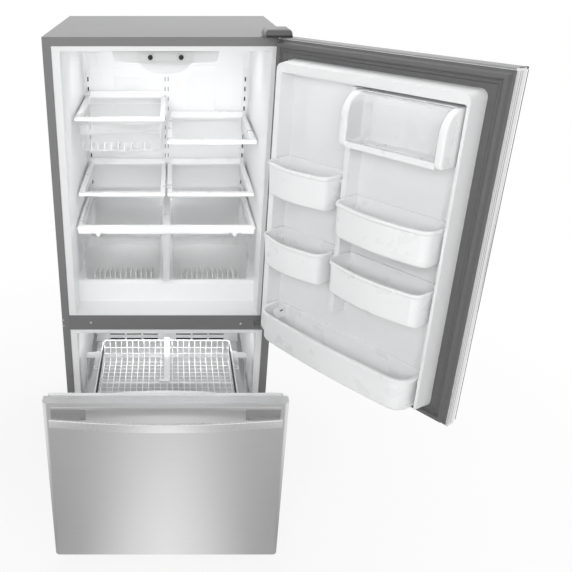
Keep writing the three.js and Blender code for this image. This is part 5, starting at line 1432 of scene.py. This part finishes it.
class REFRIGERATOR_OT_freezer_drawer(Operator):
    """Finish the freezer drawer, its slides and its bins"""

    bl_idname = "refrigerator.freezer_drawer"
    bl_label = "Freezer drawer"

    def execute(self, context):
        finish = context.scene.refrigerator_finish
        self.front(finish)
        bin_white = moulded_plastic("Freezer bin plastic", finish.bins, 0.35)
        finish_nodes(bin_white, "lower_bin", width=0.0015, segments=3)
        enamel = painted_steel("Slide enamel", tint(finish.liner, 0.6), 0.35)
        finish_nodes(enamel, "drawer_frame", width=0.0004)
        self.tray(finish, context.scene.refrigerator_sizes)
        finish_nodes(plated_steel("Slide zinc", SLIDE_ZINC), "slide_outer_left", "slide_outer_right",
                     "slide_middle_left", "slide_middle_right", width=0.0003)
        return {"FINISHED"}

    @staticmethod
    def front(finish):
        """The drawer's sheet, handle, seal and inner panel."""
        steel = brushed_steel("Drawer stainless", finish.steel, "X")
        finish_nodes(steel, "drawer_skin", width=0.0008)
        # The handle takes the sheet's colour lightened by a quarter, painted light for its brighter face; its
        # lower roughness and finer grain are its real smoother finish.
        lit_polished = brushed_steel("Drawer handle stainless", tint(finish.steel, 1.25), "X", 0.26, relief=0.08)
        finish_nodes(lit_polished, "drawer_handle", width=0.0015, segments=3)
        finish_nodes(seal_rubber("Drawer seal", tint(finish.liner, 0.8)), "drawer_gasket")
        white = moulded_plastic("Drawer panel plastic", finish.liner, 0.36)
        finish_nodes(white, "drawer_liner", width=0.004, segments=3)
        settle(drawer_crown(), DRAWER, "drawer", white, edge=2.0, angle=50)
        bead = plate("Front_bead", (-352, 352), (-63.3, -62), (651, 654), AHEAD, 0.8, 0.4)
        settle(bead, DRAWER, "drawer", steel, angle=40)
        # The grey pockets are partly the handle's end mounts and partly painted shade and reflection on the
        # sheet.
        grey = moulded_plastic("Pocket plastic and painted shade", tint(finish.trim, 0.95), 0.4)
        settle(handle_pockets(), DRAWER, "drawer", grey, edge=0.8, segments=2)

    @staticmethod
    def tray(finish, sizes):
        """The wire tray with its painted-shade side slips and its white divider."""
        body = "upper_basket_body"
        coating = painted_steel("Basket coating", TRAY_WHITE, 0.3)
        wires = wire_tray(sizes.wire_gauge * 1000, sizes.long_gap * 1000, sizes.cross_gap * 1000)
        settle(wires, DRAWER, body, coating, ("upper_basket",), angle=60)
        # Near-black painted shade along the tray's sides.
        dark = moulded_plastic("Tray painted shadow", TRAY_SHADOW_BLACK, 0.5)
        settle(tray_shadow_strips(pitch=25), DRAWER, body, dark)
        white = moulded_plastic("Divider plastic", finish.bins, 0.35)
        settle(tray_divider(), DRAWER, body, white, edge=1.6)
        finish_nodes(coating, "upper_basket", width=0)


class REFRIGERATOR_OT_stage(Operator):
    """Set up the floor, the backdrop, the lights and the camera"""

    bl_idname = "refrigerator.stage"
    bl_label = "Stage"

    def execute(self, context):
        scene = context.scene
        scene.view_settings.view_transform = "Standard"
        self.floor()
        self.air(scene)
        self.lamps()
        self.camera(scene)
        return {"FINISHED"}

    def lamps(self):
        """Lamps by name, place, what they aim at, width, height and watts."""
        self.lamp("Front", (-200, -2700, 2100), (0, 0, 1000), 1.4, 1.0, 31)
        self.lamp("Key", (-1900, -3000, 2900), (100, 0, 900), 2.4, 2.0, 12)
        self.lamp("Fill", (2200, -3400, 2400), (0, 0, 900), 2.2, 2.2, 17)
        self.lamp("Ceiling", (300, 900, 3600), (200, 100, 1600), 2.4, 2.0, 66)
        self.lamp("Food compartment", (0, 190, 1535), (0, 560, 1450), 0.5, 0.03, 0.58)
        self.lamp("Left strip", (-295, -10, 1290), (326, 330, 1250), 0.03, 0.5, 0.85)
        self.lamp("Right strip", (295, -10, 1290), (-326, 330, 1250), 0.03, 0.5, 0.8)
        self.lamp("Crisper glow", (0, 560, 960), (0, 200, 800), 0.5, 0.04, 0.7)
        self.lamp("Freezer compartment", (0, 40, 640), (0, 330, 400), 0.5, 0.05, 1.6)
        self.lamp("Gleam", (-1500, -1200, 2500), (300, -400, 1500), 0.25, 1.6, 3, True)

    @staticmethod
    def camera(scene):
        """The camera that stands where the photograph was taken from."""
        view = scene.refrigerator_camera
        data = bpy.data.cameras.new("Photograph")
        data.sensor_width = 36
        data.lens = view.lens
        data.shift_x = view.shift
        data.clip_end = 100
        camera = bpy.data.objects.new("Photograph", data)
        scene.collection.objects.link(camera)
        camera.location = place(view.across * 1000, -view.back * 1000, view.height * 1000)
        camera.rotation_euler = (math.pi / 2 - view.pitch, 0, 0)
        scene.camera = camera

    @staticmethod
    def floor():
        """A pale floor that keeps the shadow near the refrigerator and goes white away from it, and shows a
        painted reflection band to glossy rays.
        """
        bpy.ops.object.select_all(action="DESELECT")
        bpy.ops.mesh.primitive_plane_add(size=16, location=place(0, 0, 0))
        piece = bpy.context.object
        piece.name = "Studio_floor"
        tree = Tree("Studio floor")
        tree.set(Roughness=0.9, Specular_IOR_Level=0.0)
        tree.shader.inputs["Base Color"].default_value = (0.82, 0.82, 0.82, 1)
        rays = tree.add("ShaderNodeLightPath")
        away = tree.add("ShaderNodeVectorMath", operation="LENGTH")
        tree.link(tree.mapped((1.0, 1.0, 0.0)), "Vector", away, 0)
        fade = tree.add("ShaderNodeMapRange", From_Min=0.7, From_Max=2.2, To_Min=0.84, To_Max=1.0)
        tree.link(away, "Value", fade, "Value")
        seen = tree.add("ShaderNodeMath", operation="MULTIPLY")
        tree.link(fade, "Result", seen, 0)
        tree.link(rays, "Is Camera Ray", seen, 1)

        # To glossy rays the floor glows in greys that run across it, white along the middle, dimmer half a
        # metre to each side and white again beyond: a painted reflection that draws the bright upright band
        # on the stainless fronts.
        split = tree.add("ShaderNodeSeparateXYZ")
        tree.link(tree.coords, "Object", split, "Vector")
        side = tree.add("ShaderNodeMath", operation="ABSOLUTE")
        tree.link(split, "X", side, 0)
        reflection_greys = ((0.0, 1.0), (0.12, 0.86), (0.3, 0.5), (0.5, 0.4), (0.8, 0.6), (1.0, 0.95))
        reflection_band = tree.ramp(side, "Value", [(spot, (grey, grey, grey)) for spot, grey in reflection_greys])
        glow = tree.add("ShaderNodeEmission")
        tree.link(reflection_band, "Color", glow, "Color")
        white = tree.add("ShaderNodeEmission")

        mirrored = tree.add("ShaderNodeMixShader")
        tree.link(rays, "Is Glossy Ray", mirrored, 0)
        tree.links.new(tree.shader.outputs[0], mirrored.inputs[1])
        tree.links.new(glow.outputs[0], mirrored.inputs[2])
        result = tree.add("ShaderNodeMixShader")
        tree.link(seen, "Value", result, 0)
        tree.links.new(mirrored.outputs[0], result.inputs[1])
        tree.links.new(white.outputs[0], result.inputs[2])
        tree.links.new(result.outputs[0], tree.nodes["Material Output"].inputs["Surface"])
        piece.data.materials.append(tree.material)

    @staticmethod
    def air(scene):
        """White to the camera, softer as a light, and in reflections white low down and dimmer overhead, as a
        painted reflection.
        """
        world = bpy.data.worlds.new("Studio air")
        scene.world = world
        world.use_nodes = True
        nodes, links = world.node_tree.nodes, world.node_tree.links
        rays = nodes.new("ShaderNodeLightPath")
        bright = nodes.new("ShaderNodeMapRange")
        bright.inputs["To Min"].default_value = 1.0
        bright.inputs["To Max"].default_value = 0.36
        links.new(rays.outputs["Is Diffuse Ray"], bright.inputs["Value"])
        coords = nodes.new("ShaderNodeTexCoord")
        split = nodes.new("ShaderNodeSeparateXYZ")
        links.new(coords.outputs["Generated"], split.inputs["Vector"])
        # Painted reflection: glossy rays see the air dim towards the top, which the lighting does not.
        reflected_overhead = nodes.new("ShaderNodeMapRange")
        for socket, value in (("From Min", 0.42), ("From Max", 0.62), ("To Min", 1.0), ("To Max", 0.42)):
            reflected_overhead.inputs[socket].default_value = value
        links.new(split.outputs["Z"], reflected_overhead.inputs["Value"])
        mirrored = nodes.new("ShaderNodeMix")
        links.new(rays.outputs["Is Glossy Ray"], mirrored.inputs["Factor"])
        links.new(bright.outputs["Result"], mirrored.inputs["A"])
        links.new(reflected_overhead.outputs["Result"], mirrored.inputs["B"])
        links.new(mirrored.outputs["Result"], nodes["Background"].inputs["Strength"])
        nodes["Background"].inputs["Color"].default_value = (1, 1, 1, 1)

    @staticmethod
    def lamp(name, spot, target, width, height, power, gleams=False):
        """A soft lamp that the camera doesn't see, and reflections only if it gleams."""
        data = bpy.data.lights.new(name, "AREA")
        data.shape = "RECTANGLE"
        data.size, data.size_y = width, height
        data.energy = power
        lamp = bpy.data.objects.new(name, data)
        bpy.context.scene.collection.objects.link(lamp)
        lamp.location = place(*spot)
        aim = place(*target) - place(*spot)
        lamp.rotation_euler = aim.to_track_quat("-Z", "Y").to_euler()
        lamp.visible_camera = False
        lamp.visible_glossy = gleams
        return lamp


OPERATORS = (
    REFRIGERATOR_OT_cabinet,
    REFRIGERATOR_OT_compartments,
    REFRIGERATOR_OT_controls,
    REFRIGERATOR_OT_shelves,
    REFRIGERATOR_OT_clear_drawers,
    REFRIGERATOR_OT_door,
    REFRIGERATOR_OT_door_bins,
    REFRIGERATOR_OT_hinges,
    REFRIGERATOR_OT_freezer_drawer,
    REFRIGERATOR_OT_stage,
)


class REFRIGERATOR_PT_panel(Panel):
    """Sidebar panel with the colours, the sizes, the view and one button for each group of pieces"""

    bl_label = "Refrigerator"
    bl_idname = "REFRIGERATOR_PT_panel"
    bl_space_type = "VIEW_3D"
    bl_region_type = "UI"
    bl_category = "Refrigerator"

    def draw(self, context):
        layout = self.layout
        scene = context.scene
        for group in (scene.refrigerator_finish, scene.refrigerator_sizes, scene.refrigerator_camera):
            column = layout.column()
            for key in group.bl_rna.properties.keys():
                if key not in {"rna_type", "name"}:
                    column.prop(group, key)
        for operator in OPERATORS:
            layout.operator(operator.bl_idname)


CLASSES = (RefrigeratorFinish, RefrigeratorSizes, RefrigeratorCamera, *OPERATORS, REFRIGERATOR_PT_panel)


def register():
    for cls in CLASSES:
        bpy.utils.register_class(cls)
    bpy.types.Scene.refrigerator_finish = PointerProperty(type=RefrigeratorFinish)
    bpy.types.Scene.refrigerator_sizes = PointerProperty(type=RefrigeratorSizes)
    bpy.types.Scene.refrigerator_camera = PointerProperty(type=RefrigeratorCamera)


def unregister():
    del bpy.types.Scene.refrigerator_camera
    del bpy.types.Scene.refrigerator_sizes
    del bpy.types.Scene.refrigerator_finish
    for cls in reversed(CLASSES):
        bpy.utils.unregister_class(cls)


def main():
    """Builds every group of pieces and the stage."""
    register()
    bpy.ops.refrigerator.cabinet()
    bpy.ops.refrigerator.compartments()
    bpy.ops.refrigerator.controls()
    bpy.ops.refrigerator.shelves()
    bpy.ops.refrigerator.clear_drawers()
    bpy.ops.refrigerator.door()
    bpy.ops.refrigerator.door_bins()
    bpy.ops.refrigerator.hinges()
    bpy.ops.refrigerator.freezer_drawer()
    bpy.ops.refrigerator.stage()


if __name__ == "__main__":
    main()
